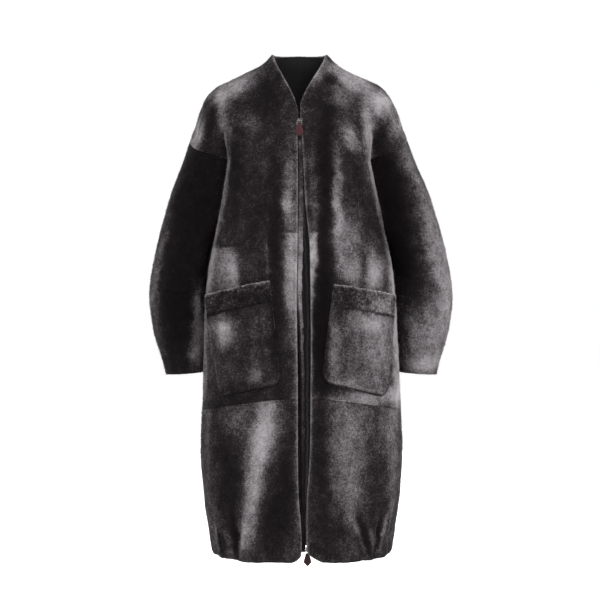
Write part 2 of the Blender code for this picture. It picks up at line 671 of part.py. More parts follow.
def levels_between(skin, top, low):
    """The body's own row heights between these two, and both ends."""
    return [top] + [z for z in skin.levels[:LAST_ROW] if low + END_GAP < z < top - END_GAP] + [low]


def build_zip(skins, coat):
    stations = levels_between(skins["left"], ZIP_TOP, ZIP_LOW)

    def strip_between(first, last):
        """The two sides of a strip that lies between these distances from the zip's middle."""

        def sides(z):
            middle = between(EDGES, z).zip_x
            return middle + first, middle + last

        return sides

    def sunk(depth):
        return lambda z: depth + between(EDGES, z).sink

    for name, first, last, depth, thickness, paint in (
        ("zip_chain", -CHAIN_HALF, CHAIN_HALF, CHAIN_DEPTH, CHAIN_WALL, "zip_metal"),
        ("zip_tape_left", TAPE_FROM, TAPE_TO, TAPE_DEPTH, TAPE_WALL, "zip_tape"),
        ("zip_tape_right", -TAPE_TO, -TAPE_FROM, TAPE_DEPTH, TAPE_WALL, "zip_tape"),
    ):
        ribbon(name, skins, stations, strip_between(first, last), sunk(depth), thickness, paint, coat)

    def beside_right_edge(z):
        row = between(EDGES, z)
        start = row.right + STRIP_GAP
        return start, min(start + STRIP_WIDTH, row.left - STRIP_GAP)

    stations = levels_between(skins["left"], STRIP_TOP, STRIP_LOW)
    name, paint = "zip_strip", "dark_pile"
    ribbon(name, skins, stations, beside_right_edge, lambda z: STRIP_DEPTH, STRIP_WALL, paint, coat)


def build_pocket(name, skin, coat):
    corners = POCKETS[name]
    height = corners.top_in_z - corners.low_in_z
    band = BAND_DEPTH / height
    in_band, in_bag = np.linspace(0, band, BAND_ROWS + 1), np.linspace(band, 1, POCKET_ROWS + 1)
    shares = np.concatenate([in_band, in_bag[1:]])
    points, inner = [], []
    for down in shares:
        line, back = [], []
        inset = corner_inset(down, height)
        for across in np.linspace(0.0, 1.0, POCKET_COLS + 1):
            width = corners.top_out - corners.top_in
            share = inset / width + across * (1 - 2 * inset / width)
            top = corners.top_in + (corners.top_out - corners.top_in) * share
            low = corners.low_in + (corners.low_out - corners.low_in) * share
            top_z = corners.top_in_z + (corners.top_out_z - corners.top_in_z) * share
            low_z = corners.low_in_z + (corners.low_out_z - corners.low_in_z) * share
            around, z = top + (low - top) * down, top_z + (low_z - top_z) * down
            off = stand_off(across, down)
            line.append(skin.at(around, z, off + POCKET_WALL))
            back.append(skin.at(around, z, off))
        points.append(line)
        inner.append(back)
    points, inner = np.array(points), np.array(inner)
    rows = len(shares) - 1
    mouth, bag = cells_of(0, BAND_ROWS, 0, POCKET_COLS), cells_of(BAND_ROWS, rows, 0, POCKET_COLS)
    wall(f"pocket_band_{name}", points, inner, mouth, "band_pile", coat)
    wall(f"pocket_{name}", points, inner, bag, "grey_pile", coat)


def corner_inset(down, height):
    """How far the pocket's sides draw in at its rounded lower corners."""
    left = (1.0 - down) * height
    if left >= CORNER_ROUND:
        return 0.0
    return CORNER_ROUND - math.sqrt(CORNER_ROUND**2 - (CORNER_ROUND - left) ** 2)


def stand_off(across, down):
    """How far the pocket's inner face stands off the front: sewn at sides and bottom, open at the mouth."""
    sides = 1.0 - abs(2 * across - 1) ** 4
    bottom = 1.0 - down**5
    most = POCKET_MOUTH + (POCKET_BULGE - POCKET_MOUTH) * float(smooth_step(0.0, BULGE_FROM, down))
    return POCKET_SINK + most * sides * bottom


def wire(name, spots, radius, paint, group):
    """A closed wire loop through these spots."""
    curve = bpy.data.curves.new(name, "CURVE")
    curve.dimensions = "3D"
    curve.bevel_depth = radius
    curve.bevel_resolution = 2
    curve.use_fill_caps = True
    spline = curve.splines.new("POLY")
    spline.points.add(len(spots) - 1)
    for point, spot in zip(spline.points, spots):
        point.co = (*spot, 1.0)
    spline.use_cyclic_u = True
    curve.materials.append(material(paint))
    made = bpy.data.objects.new(name, curve)
    group.objects.link(made)
    return made


def rounded_loop(half, length, corner, turns=4):
    """Corners of a rounded rectangle from (0, 0) down to -length."""
    spots = []
    middles = ((half, 0.0), (-half, 0.0), (-half, -length), (half, -length))
    for quarter, (x, z) in enumerate(middles):
        middle = x - math.copysign(corner, x), z - corner if z == 0.0 else z + corner
        for turn in range(turns + 1):
            angle = math.radians(90 * (quarter + turn / turns))
            reach = corner * math.cos(angle), corner * math.sin(angle)
            spots.append((middle[0] + reach[0], 0.0, middle[1] + reach[1]))
    return spots


def meshed(source, group):
    """A curve's solid as a mesh object of the same name, its caps welded."""
    bpy.context.view_layer.update()
    graph = bpy.context.evaluated_depsgraph_get()
    data = bpy.data.meshes.new_from_object(source.evaluated_get(graph))
    mesh = bmesh.new()
    mesh.from_mesh(data)
    bmesh.ops.remove_doubles(mesh, verts=mesh.verts, dist=WELD)
    bmesh.ops.recalc_face_normals(mesh, faces=mesh.faces)
    mesh.to_mesh(data)
    mesh.free()
    name = source.name
    place = source.matrix_world.copy()
    bpy.data.objects.remove(source, do_unlink=True)
    made = bpy.data.objects.new(name, data)
    made.matrix_world = place
    group.objects.link(made)
    return made


def boolean(target, other, operation):
    change = target.modifiers.new(operation.lower(), "BOOLEAN")
    change.operation = operation
    change.object = other
    change.solver = "EXACT"


def hidden(helper):
    helper.hide_render = True
    helper.display_type = "WIRE"
    return helper


def build_pull(which, skins, coat, cutters):
    """A slider with its lug, and the link and tab that swing on it, below an empty on the hinge."""
    pull = PULLS[which]
    edges = between(EDGES, pull.z)
    x = edges.zip_x
    face = behind_fronts(skins, x, pull.z, 0.0)
    front = face[1] + SLIDER_DEPTH + edges.sink
    hinge = (x, face[1] + pull.hinge_depth, pull.z)

    mesh = bmesh.new()
    bmesh.ops.create_cube(mesh, size=1.0)
    bmesh.ops.scale(mesh, vec=(SLIDER_WIDTH, SLIDER_THICK, SLIDER_HEIGHT), verts=mesh.verts)
    bmesh.ops.bevel(mesh, geom=list(mesh.edges), offset=SLIDER_ROUND, segments=2, profile=0.5, affect="EDGES")
    slider = finish(f"slider_{which}", mesh, "zip_metal", coat)
    slider.location = (x, front + SLIDER_THICK / 2, pull.z)

    reach = front - hinge[1] + LUG_WIRE + LINK_WIRE + LINK_PLAY
    back = SLIDER_THICK / 2
    spots = [(x, front - y, pull.z + z) for z, _, y in rounded_loop(LUG_HALF, reach + back, LUG_CORNER)]
    lowest = max(front - spot[1] for spot in spots) - reach
    spots = [(sx, sy + lowest, sz) for sx, sy, sz in spots]
    lug = hidden(meshed(wire(f"lug_{which}", spots, LUG_WIRE, "zip_metal", cutters), cutters))
    boolean(slider, lug, "UNION")

    swing = bpy.data.objects.new(f"swing_{which}", None)
    swing.location = hinge
    swing.rotation_euler = (-math.radians(pull.tilt), 0.0, 0.0)
    coat.objects.link(swing)
    loop = rounded_loop(LINK_HALF, LINK_LENGTH, LINK_CORNER)
    link = wire(f"link_{which}", loop, LINK_WIRE, "zip_metal", coat)
    link.parent = swing

    tab = build_tab(which, coat, cutters)
    for piece in tab:
        piece.parent = swing


def build_tab(which, coat, cutters):
    """The pointed leather tab, with the tunnel that the link runs through."""
    top = TUNNEL_DOWN - LINK_LENGTH
    outline = [
        (-TAB_TOP_HALF, top),
        (-TAB_HALF, top - TAB_SHOULDER),
        (0.0, top - TAB_LENGTH),
        (TAB_HALF, top - TAB_SHOULDER),
        (TAB_TOP_HALF, top),
    ]
    curve = bpy.data.curves.new(f"tab_{which}", "CURVE")
    curve.dimensions = "2D"
    curve.fill_mode = "BOTH"
    curve.extrude = TAB_THICK / 2
    spline = curve.splines.new("POLY")
    spline.points.add(len(outline) - 1)
    for point, (px, pz) in zip(spline.points, outline):
        point.co = (px, pz, 0.0, 1.0)
    spline.use_cyclic_u = True
    curve.materials.append(material("pull_leather"))
    flat = bpy.data.objects.new(f"tab_{which}", curve)
    coat.objects.link(flat)
    tab = meshed(flat, coat)
    tab.rotation_euler = (math.radians(90), 0.0, 0.0)
    soften = tab.modifiers.new("edges", "BEVEL")
    soften.width = TAB_ROUND
    soften.segments = 2
    soften.limit_method = "ANGLE"

    mesh = bmesh.new()
    radii = {"radius1": TUNNEL_RADIUS, "radius2": TUNNEL_RADIUS}
    bmesh.ops.create_cone(mesh, cap_ends=True, segments=16, depth=TUNNEL_CUT, **radii)
    bmesh.ops.rotate(mesh, matrix=Matrix.Rotation(math.radians(90), 3, "Y"), verts=mesh.verts)
    cutter = hidden(finish(f"tunnel_{which}", mesh, "pull_leather", cutters))
    cutter.location = (0.0, 0.0, -LINK_LENGTH)
    boolean(tab, cutter, "DIFFERENCE")
    return tab, cutter


def main():
    for old in list(bpy.data.objects):
        bpy.data.objects.remove(old, do_unlink=True)
    coat = bpy.data.collections.new("shearling_coat")
    cutters = bpy.data.collections.new("cutters")
    for collection in (coat, cutters):
        bpy.context.scene.collection.children.link(collection)

    points, normals, around = body_grid()
    sleeves = {"left": sleeve_grid(points, 1), "right": sleeve_grid(points, -1)}
    thickness = np.full(points.shape[:2], WALL)
    for half in (slice(None), slice(None, None, -1)):
        reach = np.linalg.norm(points[:, half][:, :1] - points[:, half][:, :CREASE_COL], axis=2)
        full = smooth_step(EDGE_FLAT, EDGE_TAPER, reach)
        thickness[:, half][:, :CREASE_COL] = EDGE_WALL + (WALL - EDGE_WALL) * full
    offsets = normals * thickness[:, :, None]
    body_apart = {}
    for name, side in (("left", 1), ("right", -1)):
        grid, sleeve_normals = sleeves[name]
        sleeve_offsets = sleeve_normals * WALL
        sleeve_apart = {}
        for place, i, way, across in shared_seam(points, normals, grid, sleeve_normals, side):
            offsets[place] = way * WALL
            sleeve_offsets[0, i] = way * WALL
            body_apart[place] = -across
            sleeve_apart[0, i] = across
        build_sleeve(name, grid, grid - sleeve_offsets, sleeve_apart, coat)
    build_body(points, points - offsets, body_apart, coat)
    skins = {"left": Skin(points, normals, around, 1), "right": Skin(points, normals, around, -1)}
    for name, skin in skins.items():
        build_pocket(name, skin, coat)
    build_zip(skins, coat)
    for which in PULLS:
        build_pull(which, skins, coat, cutters)


main()
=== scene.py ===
import math
from collections import namedtuple

import bmesh
import bpy
import numpy as np
from mathutils import Matrix, Vector, noise


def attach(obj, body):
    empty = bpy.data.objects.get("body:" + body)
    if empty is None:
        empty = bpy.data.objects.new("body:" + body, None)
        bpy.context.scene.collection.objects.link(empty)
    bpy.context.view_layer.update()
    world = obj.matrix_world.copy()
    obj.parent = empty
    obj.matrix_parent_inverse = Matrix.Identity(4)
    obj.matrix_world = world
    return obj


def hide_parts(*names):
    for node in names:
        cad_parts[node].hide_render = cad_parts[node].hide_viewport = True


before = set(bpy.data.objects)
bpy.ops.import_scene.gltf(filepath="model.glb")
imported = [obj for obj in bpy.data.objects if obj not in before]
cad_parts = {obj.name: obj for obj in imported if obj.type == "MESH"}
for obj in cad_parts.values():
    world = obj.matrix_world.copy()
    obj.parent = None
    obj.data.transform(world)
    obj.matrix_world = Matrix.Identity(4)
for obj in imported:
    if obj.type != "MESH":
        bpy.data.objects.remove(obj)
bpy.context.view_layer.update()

# knee-length shearling coat, worn, metres, front towards -Y, the wearer's left at +X
# One grid: rows from neckline to hem, columns from the left front edge round the back to the right one.
# Columns are named on one side, counted from centre front to centre back.
cut = {
    "crease": 8,        # front of the armhole
    "shoulder": 10,
    "side": 11,
    "backCrease": 14,
    "half": 21,
    "drop": 8,          # row of the dropped shoulder seam
    "underarm": 13,
    "skirt": 22,
    "hem": 32,
    "cuff": 11,         # sleeve rows
    "elbow": 6,
    "loop": 22,         # sleeve columns
}
cloth = {
    "wall": 0.007,          # hide and pile
    "frontWall": 0.004,     # sheared down beside the zip
    "frontFlat": 0.020,
    "frontTaper": 0.040,
    "freeRound": 0.0030,    # rounding where the pile turns over a free edge
    "frontRound": 0.0018,
    "seamRound": 0.0011,    # the dip along a seam
    "seamGap": 0.00018,
    "rowSteps": 8,          # grid lines in each row and column of the cut
    "colSteps": 8,
    "sleeveSteps": 12,
    "closeLines": (0.022, 0.065),
}

shoulderRow = namedtuple("shoulderRow", "row sideX sideZ rise")
shoulderTable = [
    shoulderRow(0, 0.061, 0.047, 0.56),
    shoulderRow(1, 0.085, 0.023, 0.78),
    shoulderRow(2, 0.117, 0.005, 1.04),
    shoulderRow(3, 0.150, -0.010, 1.36),
    shoulderRow(4, 0.183, -0.026, 1.60),
    shoulderRow(5, 0.206, -0.050, 1.85),
    shoulderRow(6, 0.222, -0.083, 2.10),
    shoulderRow(7, 0.2325, -0.116, 2.40),
    shoulderRow(8, 0.2440, -0.148, 2.80),
    shoulderRow(13, 0.2440, -0.3375, 3.00),
]
bodyRow = namedtuple("bodyRow", "row frontY frontZ backY backZ width frontN backN drawIn")
bodyTable = [
    bodyRow(0, 0.100, -0.0985, 0.058, 0.052, 0.061, 1.50, 2.00, 0.000),
    bodyRow(1, 0.106, -0.1130, 0.068, 0.030, 0.085, 1.70, 2.00, 0.000),
    bodyRow(2, 0.111, -0.1280, 0.080, 0.008, 0.117, 1.95, 2.05, 0.000),
    bodyRow(4, 0.119, -0.1570, 0.101, -0.045, 0.150, 2.30, 2.20, 0.000),
    bodyRow(6, 0.125, -0.1860, 0.113, -0.112, 0.162, 2.80, 2.40, 0.000),
    bodyRow(8, 0.129, -0.2150, 0.118, -0.184, 0.164, 3.10, 2.60, 0.000),
    bodyRow(13, 0.137, -0.3375, 0.119, -0.3375, 0.188, 3.10, 2.70, 0.006),
    bodyRow(17, 0.147, -0.4700, 0.122, -0.4700, 0.213, 3.00, 2.60, 0.014),
    bodyRow(20, 0.154, -0.6200, 0.130, -0.6200, 0.222, 2.90, 2.50, 0.014),
    bodyRow(22, 0.158, -0.7205, 0.136, -0.7205, 0.2240, 2.70, 2.40, 0.003),
    bodyRow(26, 0.164, -0.8900, 0.143, -0.8900, 0.2235, 2.50, 2.30, 0.000),
    bodyRow(28, 0.165, -0.9850, 0.143, -0.9850, 0.2145, 2.50, 2.30, 0.000),
    bodyRow(29, 0.162, -1.0400, 0.139, -1.0400, 0.2060, 2.50, 2.30, 0.000),
    bodyRow(30, 0.155, -1.0665, 0.132, -1.0665, 0.2005, 2.50, 2.30, 0.000),
    bodyRow(31, 0.142, -1.0755, 0.119, -1.0755, 0.1880, 2.50, 2.30, 0.000),
    bodyRow(32, 0.128, -1.0660, 0.105, -1.0660, 0.1740, 2.50, 2.30, 0.000),
]
foldRow = namedtuple("foldRow", "row depth frontY backY armDepth tuck")
foldTable = [
    foldRow(0, 0.0, 0.045, 0.045, 0.070, 0.000),
    foldRow(3, 0.0, 0.045, 0.045, 0.070, 0.000),
    foldRow(5, 0.35, 0.045, 0.045, 0.070, 0.004),
    foldRow(8, 1.0, 0.038, 0.042, 0.070, 0.010),
    foldRow(13, 1.0, 0.024, 0.026, 0.070, 0.004),
    foldRow(22, 1.0, 0.050, 0.040, 0.070, 0.000),
    foldRow(32, 1.0, 0.060, 0.050, 0.070, 0.000),
]
leanRow = namedtuple("leanRow", "z x")
leanTable = [
    leanRow(-1.2, 0.0005),
    leanRow(-0.75, 0.0),
    leanRow(-0.50, -0.002),
    leanRow(-0.30, -0.0030),
    leanRow(-0.15, -0.0062),
    leanRow(-0.04, -0.0068),
    leanRow(0.06, -0.0040),
]
sleeveRow = namedtuple("sleeveRow", "row outerX outerZ innerX innerZ midY halfDepth")
sleeveTable = [
    sleeveRow(0, 0.2440, -0.148, 0.180, -0.3375, 0.006, 0.066),
    sleeveRow(2, 0.2920, -0.264, 0.193, -0.388, 0.016, 0.074),
    sleeveRow(4, 0.3245, -0.378, 0.201, -0.442, 0.019, 0.078),
    sleeveRow(6, 0.3420, -0.482, 0.2045, -0.496, 0.019, 0.078),
    sleeveRow(8, 0.3345, -0.568, 0.2100, -0.566, 0.017, 0.073),
    sleeveRow(10, 0.3135, -0.642, 0.2155, -0.635, 0.014, 0.064),
    sleeveRow(11, 0.3050, -0.674, 0.2175, -0.668, 0.013, 0.060),
]
edgeRow = namedtuple("edgeRow", "z right left zipX sink")
edgeTable = [
    edgeRow(-0.095, -0.0069, -0.0029, -0.0049, 0.0),
    edgeRow(-0.125, -0.0074, -0.0022, -0.0047, 0.0),
    edgeRow(-0.150, -0.0085, 0.0000, -0.0035, 0.0),
    edgeRow(-0.200, -0.0080, 0.0030, -0.0012, 0.0),
    edgeRow(-0.290, -0.0080, 0.0080, 0.0031, 0.0),
    edgeRow(-0.390, -0.0085, 0.0178, 0.0074, 0.0),
    edgeRow(-0.470, -0.0100, 0.0195, 0.0120, 0.0),
    edgeRow(-0.700, -0.0078, 0.0200, 0.0126, 0.0),
    edgeRow(-0.860, -0.0075, 0.0172, 0.0125, 0.0),
    edgeRow(-0.930, -0.0060, 0.0118, 0.0105, 0.0006),
    edgeRow(-1.000, -0.0005, 0.0110, 0.0112, 0.0035),
    edgeRow(-1.040, 0.0005, 0.0118, 0.0127, 0.0060),
    edgeRow(-1.052, 0.0000, 0.0138, 0.0130, 0.0064),
    edgeRow(-1.060, -0.0020, 0.0217, 0.0130, 0.0064),
    edgeRow(-1.067, -0.0080, 0.0320, 0.0130, 0.0064),
    edgeRow(-1.0755, -0.0200, 0.0450, 0.0130, 0.0064),
]

# long soft folds as the coat hangs: place round the body from centre front (right side negative), at top and foot
hang = namedtuple("hang", "topAt lowAt topZ lowZ width out")
hangs = {
    "beside the right front edge": hang(-0.030, -0.026, -0.16, -1.04, 0.020, 0.0030),
    "right front trough": hang(-0.058, -0.060, -0.24, -1.04, 0.022, -0.0050),
    "left front trough": hang(0.046, 0.044, -0.15, -1.00, 0.022, -0.0050),
    "left chest ridge": hang(0.080, 0.090, -0.17, -0.60, 0.024, 0.0035),
    "right skirt ridge": hang(-0.128, -0.112, -0.66, -1.06, 0.030, 0.0050),
    "right hem valley": hang(-0.165, -0.165, -0.86, -1.08, 0.022, -0.0110),
    "right hem side": hang(-0.235, -0.232, -0.92, -1.08, 0.018, -0.0080),
    "left hem valley": hang(0.150, 0.146, -0.84, -1.08, 0.024, -0.0070),
    "left hem middle": hang(0.196, 0.190, -0.90, -1.08, 0.020, -0.0090),
    "left hem side": hang(0.245, 0.240, -0.92, -1.08, 0.018, -0.0080),
    "left side fold": hang(0.330, 0.335, -0.88, -1.08, 0.024, -0.0080),
    "right side fold": hang(-0.325, -0.330, -0.90, -1.08, 0.024, -0.0080),
    "left back hem": hang(0.420, 0.430, -0.80, -1.08, 0.030, -0.0070),
    "right back hem": hang(-0.430, -0.425, -0.84, -1.08, 0.030, -0.0070),
    "left back fold": hang(0.520, 0.505, -0.30, -1.06, 0.034, -0.0050),
    "right back fold": hang(-0.515, -0.510, -0.34, -1.06, 0.036, -0.0050),
}

# shorter creases and tucks, each a stroke from one end to the other, fading at both
crease = namedtuple("crease", "fromAt fromZ toAt toZ width out")
creases = {
    "pocket drag": crease(-0.073, -0.25, -0.070, -0.452, 0.0045, -0.0022),
    "pocket drag lip": crease(-0.081, -0.27, -0.078, -0.452, 0.0070, 0.0014),
    "right chest fold": crease(-0.105, -0.18, -0.135, -0.40, 0.020, 0.0022),
    "right side drape": crease(-0.190, -0.30, -0.150, -0.46, 0.014, -0.0018),
    "left chest fold": crease(0.110, -0.20, 0.150, -0.42, 0.018, -0.0024),
    "left underarm drape": crease(0.168, -0.24, 0.138, -0.40, 0.010, 0.0018),
    "left waist ridge": crease(0.100, -0.34, 0.115, -0.47, 0.010, 0.0022),
    "left waist dip": crease(0.128, -0.36, 0.134, -0.48, 0.009, -0.0020),
    "right skirt long": crease(-0.088, -0.73, -0.100, -1.00, 0.020, -0.0035),
    "left skirt long": crease(0.110, -0.74, 0.098, -1.00, 0.022, 0.0030),
    "left skirt dip": crease(0.160, -0.72, 0.150, -0.98, 0.020, -0.0035),
    "right hem tuck one": crease(-0.214, -0.98, -0.190, -1.085, 0.0065, -0.0075),
    "right hem tuck two": crease(-0.138, -0.965, -0.152, -1.085, 0.0080, -0.0095),
    "right hem ridge": crease(-0.122, -0.98, -0.130, -1.085, 0.0080, 0.0060),
    "right hem tuck three": crease(-0.104, -1.02, -0.108, -1.085, 0.0060, -0.0045),
    "right hem tuck four": crease(-0.080, -1.035, -0.076, -1.085, 0.0060, -0.0030),
    "right hem tuck five": crease(-0.045, -1.045, -0.040, -1.085, 0.0060, -0.0028),
    "left hem tuck one": crease(0.122, -0.97, 0.146, -1.085, 0.0075, -0.0095),
    "left hem ridge": crease(0.134, -0.99, 0.160, -1.080, 0.0070, 0.0060),
    "left hem tuck two": crease(0.192, -0.97, 0.174, -1.085, 0.0065, -0.0085),
    "left hem tuck four": crease(0.076, -1.04, 0.082, -1.085, 0.0060, -0.0030),
    "left side tuck": crease(0.290, -0.98, 0.284, -1.085, 0.0080, -0.0042),
    "right side tuck": crease(-0.284, -0.97, -0.272, -1.085, 0.0070, -0.0050),
    "left back tuck one": crease(0.372, -0.99, 0.378, -1.085, 0.0075, -0.0050),
    "left back tuck two": crease(0.455, -0.97, 0.462, -1.085, 0.0080, -0.0055),
    "left back tuck three": crease(0.545, -1.00, 0.536, -1.085, 0.0075, -0.0045),
    "right back tuck one": crease(-0.366, -0.96, -0.374, -1.085, 0.0080, -0.0055),
    "right back tuck two": crease(-0.470, -1.00, -0.462, -1.085, 0.0075, -0.0045),
    "right back tuck three": crease(-0.550, -0.98, -0.556, -1.085, 0.0080, -0.0050),
    "left back drape": crease(0.400, -0.30, 0.520, -0.44, 0.022, -0.0035),
    "right back drape": crease(-0.410, -0.28, -0.500, -0.46, 0.020, -0.0035),
    "left back crease": crease(0.440, -0.46, 0.470, -0.78, 0.018, 0.0035),
    "right back crease": crease(-0.430, -0.52, -0.465, -0.84, 0.020, 0.0035),
}
backCreases = {
    "waist drape": crease(0.560, -0.47, 0.760, -0.50, 0.022, 0.0030),
    "shoulder drape": crease(0.590, -0.16, 0.700, -0.30, 0.030, -0.0026),
    "skirt fold": crease(0.655, -0.62, 0.648, -1.02, 0.030, -0.0050),
    "skirt ridge": crease(0.600, -0.66, 0.606, -1.04, 0.020, 0.0035),
    "hem tuck one": crease(0.620, -0.99, 0.626, -1.085, 0.0075, -0.0050),
    "hem tuck two": crease(0.688, -1.01, 0.680, -1.085, 0.0075, -0.0055),
}
# the same on a sleeve: place round it from under the arm by the front (0 to 22), row from armhole to cuff
sleeveCreases = {
    "front armhole": crease(4.5, 0.2, 6.5, 2.4, 0.9, -0.0035),
    "front upper": crease(7.5, 0.6, 8.8, 3.6, 0.8, 0.0025),
    "under the elbow": crease(1.5, 4.4, 6.2, 5.4, 0.7, -0.0030),
    "elbow front": crease(3.0, 6.1, 7.5, 6.9, 0.8, -0.0028),
    "elbow ridge": crease(2.5, 5.4, 7.0, 6.1, 0.6, 0.0020),
    "lower front": crease(5.5, 7.4, 7.8, 10.4, 0.9, -0.0024),
    "cuff front": crease(8.6, 9.2, 9.4, 11.4, 0.6, -0.0020),
    "outer fold": crease(11.5, 2.0, 12.4, 6.8, 1.2, -0.0022),
    "back armhole": crease(17.5, 0.2, 15.8, 2.8, 0.9, -0.0035),
    "back elbow": crease(19.5, 4.6, 15.5, 5.8, 0.8, -0.0034),
    "back elbow low": crease(19.0, 6.4, 15.0, 7.2, 0.8, -0.0026),
    "back lower": crease(16.5, 7.6, 15.0, 10.6, 0.9, 0.0024),
}
surface = {
    "sag": 0.0016,      # broad unevenness of the hide
    "sagSize": 0.075,
    "dent": 0.0007,
    "dentSize": 0.024,
    "tuft": 0.00045,    # clumps of pile
    "tuftSize": 0.0075,
}
form = {
    "samples": 160,
    "pastCentre": 40,
    "armSwing": 128,        # degrees
    "creaseShare": 0.64,
    "tuckFrom": 0.86,
    "armPullFrom": 0.35,
    "drawIn": (-0.066, -0.020),
    "drawInShares": (0.35, 0.9),
    "seamDip": 0.031,
    "dipRows": 4.5,
    "dipShares": (0.05, 0.75),
    "hangFades": 0.45,
    "sleeveSettles": 4.0,
    "sleeveEvens": 0.75,
    "leastMitre": 0.85,
    "girth": 1.31,          # round the hips, for the creases at the back
    "turnedUp": 29.5,       # the row where the hem starts to turn under
    "underBlur": 10,
    "armholeCorners": (3, 8, 14, 19),
    "cornerReach": 2.0,
    "cornerBlur": 260,
    "leastWall": 0.0040,
    "cornerWall": 0.0016,
    "cornerSkin": 0.0004,
    "creaseFades": (0.35, 0.75),
    "cornerRows": ((0.0, 1.2), (3.5, 5.5)),     # sleeve rows between which the armhole's corners fade out
    "sleeveUnits": (0.021, 0.045),              # width of a sleeve column and height of a row
    "seedSag": 3.1,
    "seedDent": 11.7,
    "seedTuft": 23.3,
}


def smoothStep(low, high, value):
    share = np.clip((value - low) / (high - low), 0.0, 1.0)
    return share * share * (3.0 - 2.0 * share)


def between(table, at):
    # a smooth curve through the table's rows
    places = np.array([row[0] for row in table], float)
    order = np.argsort(places)
    places = places[order]
    values = np.array([tuple(table[i]) for i in order], float)
    slopes = np.gradient(values, places, axis=0)
    at = min(max(at, places[0]), places[-1])
    i = min(int(np.searchsorted(places, at, side="right")) - 1, len(places) - 2)
    span = places[i + 1] - places[i]
    t = (at - places[i]) / span
    start = (1 + 2 * t) * (1 - t) ** 2 * values[i] + t * (1 - t) ** 2 * span * slopes[i]
    end = t * t * (3 - 2 * t) * values[i + 1] + t * t * (t - 1) * span * slopes[i + 1]
    return type(table[0])(*(start + end))


def lobe(angles, width, front, back, frontN, backN):
    s, c = np.abs(np.sin(angles)), np.cos(angles)
    n = np.where(c > 0, frontN, backN)
    depth = np.where(c > 0, front, back)
    return np.stack([width * s ** (2 / n), -np.sign(c) * depth * np.abs(c) ** (2 / n)], axis=1)


def distances(points):
    return np.concatenate([[0.0], np.cumsum(np.linalg.norm(np.diff(points, axis=0), axis=1))])


def pointsAt(line, shares):
    along = distances(line)
    return np.stack([np.interp(shares * along[-1], along, line[:, i]) for i in range(line.shape[1])], axis=1)


def cutAt(points, first, side, last):
    steps = distances(points)
    ends = [0.0, first, side, last, steps[-1]]
    runs = []
    for low, high in zip(ends, ends[1:]):
        places = np.linspace(low, high, form["samples"])
        runs.append(np.stack([np.interp(places, steps, points[:, i]) for i in (0, 1)], axis=1))
    return runs


def planOf(row):
    # one side of a row in plan, centre front to centre back, in four runs that part at the armhole and the side
    body, fold = between(bodyTable, row), between(foldTable, row)
    samples = form["samples"]
    angles = np.linspace(0.0, math.pi, 4 * samples)
    shape = body.frontY, body.backY, body.frontN, body.backN
    oval = lobe(angles, body.width, *shape)
    pull = body.drawIn * smoothStep(*form["drawIn"], oval[:, 1])
    pull = pull * smoothStep(*form["drawInShares"], np.abs(oval[:, 0]) / np.abs(oval[:, 0]).max())
    oval[:, 0] -= pull * np.sign(oval[:, 0])
    steps = distances(oval)
    frontAt = math.acos(min(1.0, fold.frontY / body.frontY) ** (body.frontN / 2))
    backAt = math.pi - math.acos(min(1.0, fold.backY / body.backY) ** (body.backN / 2))
    folded = cutAt(oval, *np.interp([frontAt, math.pi / 2, backAt], angles, steps))
    curl = fold.tuck * smoothStep(form["tuckFrom"], 1.0, np.linspace(0.0, 1.0, samples))
    folded[0][:, 0] -= curl
    folded[3][:, 0] -= curl[::-1]
    if row > cut["drop"]:
        return folded
    shoulder = between(shoulderTable, row)
    armHalf = 0.5 * (shoulder.sideX - folded[0][-1, 0])
    turns = np.linspace(0.0, 1.0, samples)
    swing = turns * math.radians(form["armSwing"])
    arc = np.stack([shoulder.sideX - armHalf + armHalf * np.cos(swing), fold.armDepth * np.sin(swing)], axis=1)
    pull = smoothStep(form["armPullFrom"], 1.0, turns)[:, None]
    toBack = arc + pull * (folded[3][0] - arc[-1])
    toFront = arc * (1, -1)
    toFront = toFront + pull * (folded[0][-1] - toFront[-1])
    folded[1] = pointsAt(toFront[::-1], np.linspace(0, 1, samples))
    folded[2] = pointsAt(toBack, np.linspace(0, 1, samples))
    whole = lobe(angles, shoulder.sideX, *shape)
    steps = distances(whole)
    side = float(np.interp(math.pi / 2, angles, steps))
    share = form["creaseShare"]
    plain = cutAt(whole, share * side, side, steps[-1] - share * (steps[-1] - side))
    return [bare + fold.depth * (bent - bare) for bare, bent in zip(plain, folded)]


def heightsOf(row, shares, isBack):
    body = between(bodyTable, row)
    if row >= cut["underarm"]:
        fade = 1.0 - smoothStep(0.0, form["dipRows"], abs(row - cut["skirt"]))
        return body.frontZ - form["seamDip"] * fade * smoothStep(*form["dipShares"], shares)
    shoulder = between(shoulderTable, row)
    centre = body.backZ if isBack else body.frontZ
    rise = max(1.0, shoulder.rise) if isBack else shoulder.rise
    return centre + (shoulder.sideZ - centre) * np.clip(shares, 0.0, 1.0) ** rise


leanHeights = np.linspace(-1.2, 0.06, 400)
leanPlaces = np.array([between(leanTable, float(z)).x for z in leanHeights])


def leanAt(z):
    return np.interp(z, leanHeights, leanPlaces)


def rowRuns(row):
    share, samples = form["creaseShare"], form["samples"]
    inFront, beyond = np.linspace(0, share, samples), np.linspace(share, 1, samples)
    levels = [
        heightsOf(row, inFront, False),
        heightsOf(row, beyond, False),
        heightsOf(row, beyond[::-1], True),
        heightsOf(row, inFront[::-1], True),
    ]
    return [np.column_stack([run, level]) for run, level in zip(planOf(row), levels)]


def fineLines(last, steps, seams):
    # evenly spaced lines, with two more close by on each side of every seam
    lines = {round(i / steps, 5) for i in range(last * steps + 1)}
    for seam in seams:
        for gap in cloth["closeLines"]:
            lines |= {round(place, 5) for place in (seam - gap, seam + gap) if 0 < place < last}
    return np.array(sorted(lines))


def indexOf(lines, place):
    return int(np.argmin(np.abs(lines - place)))


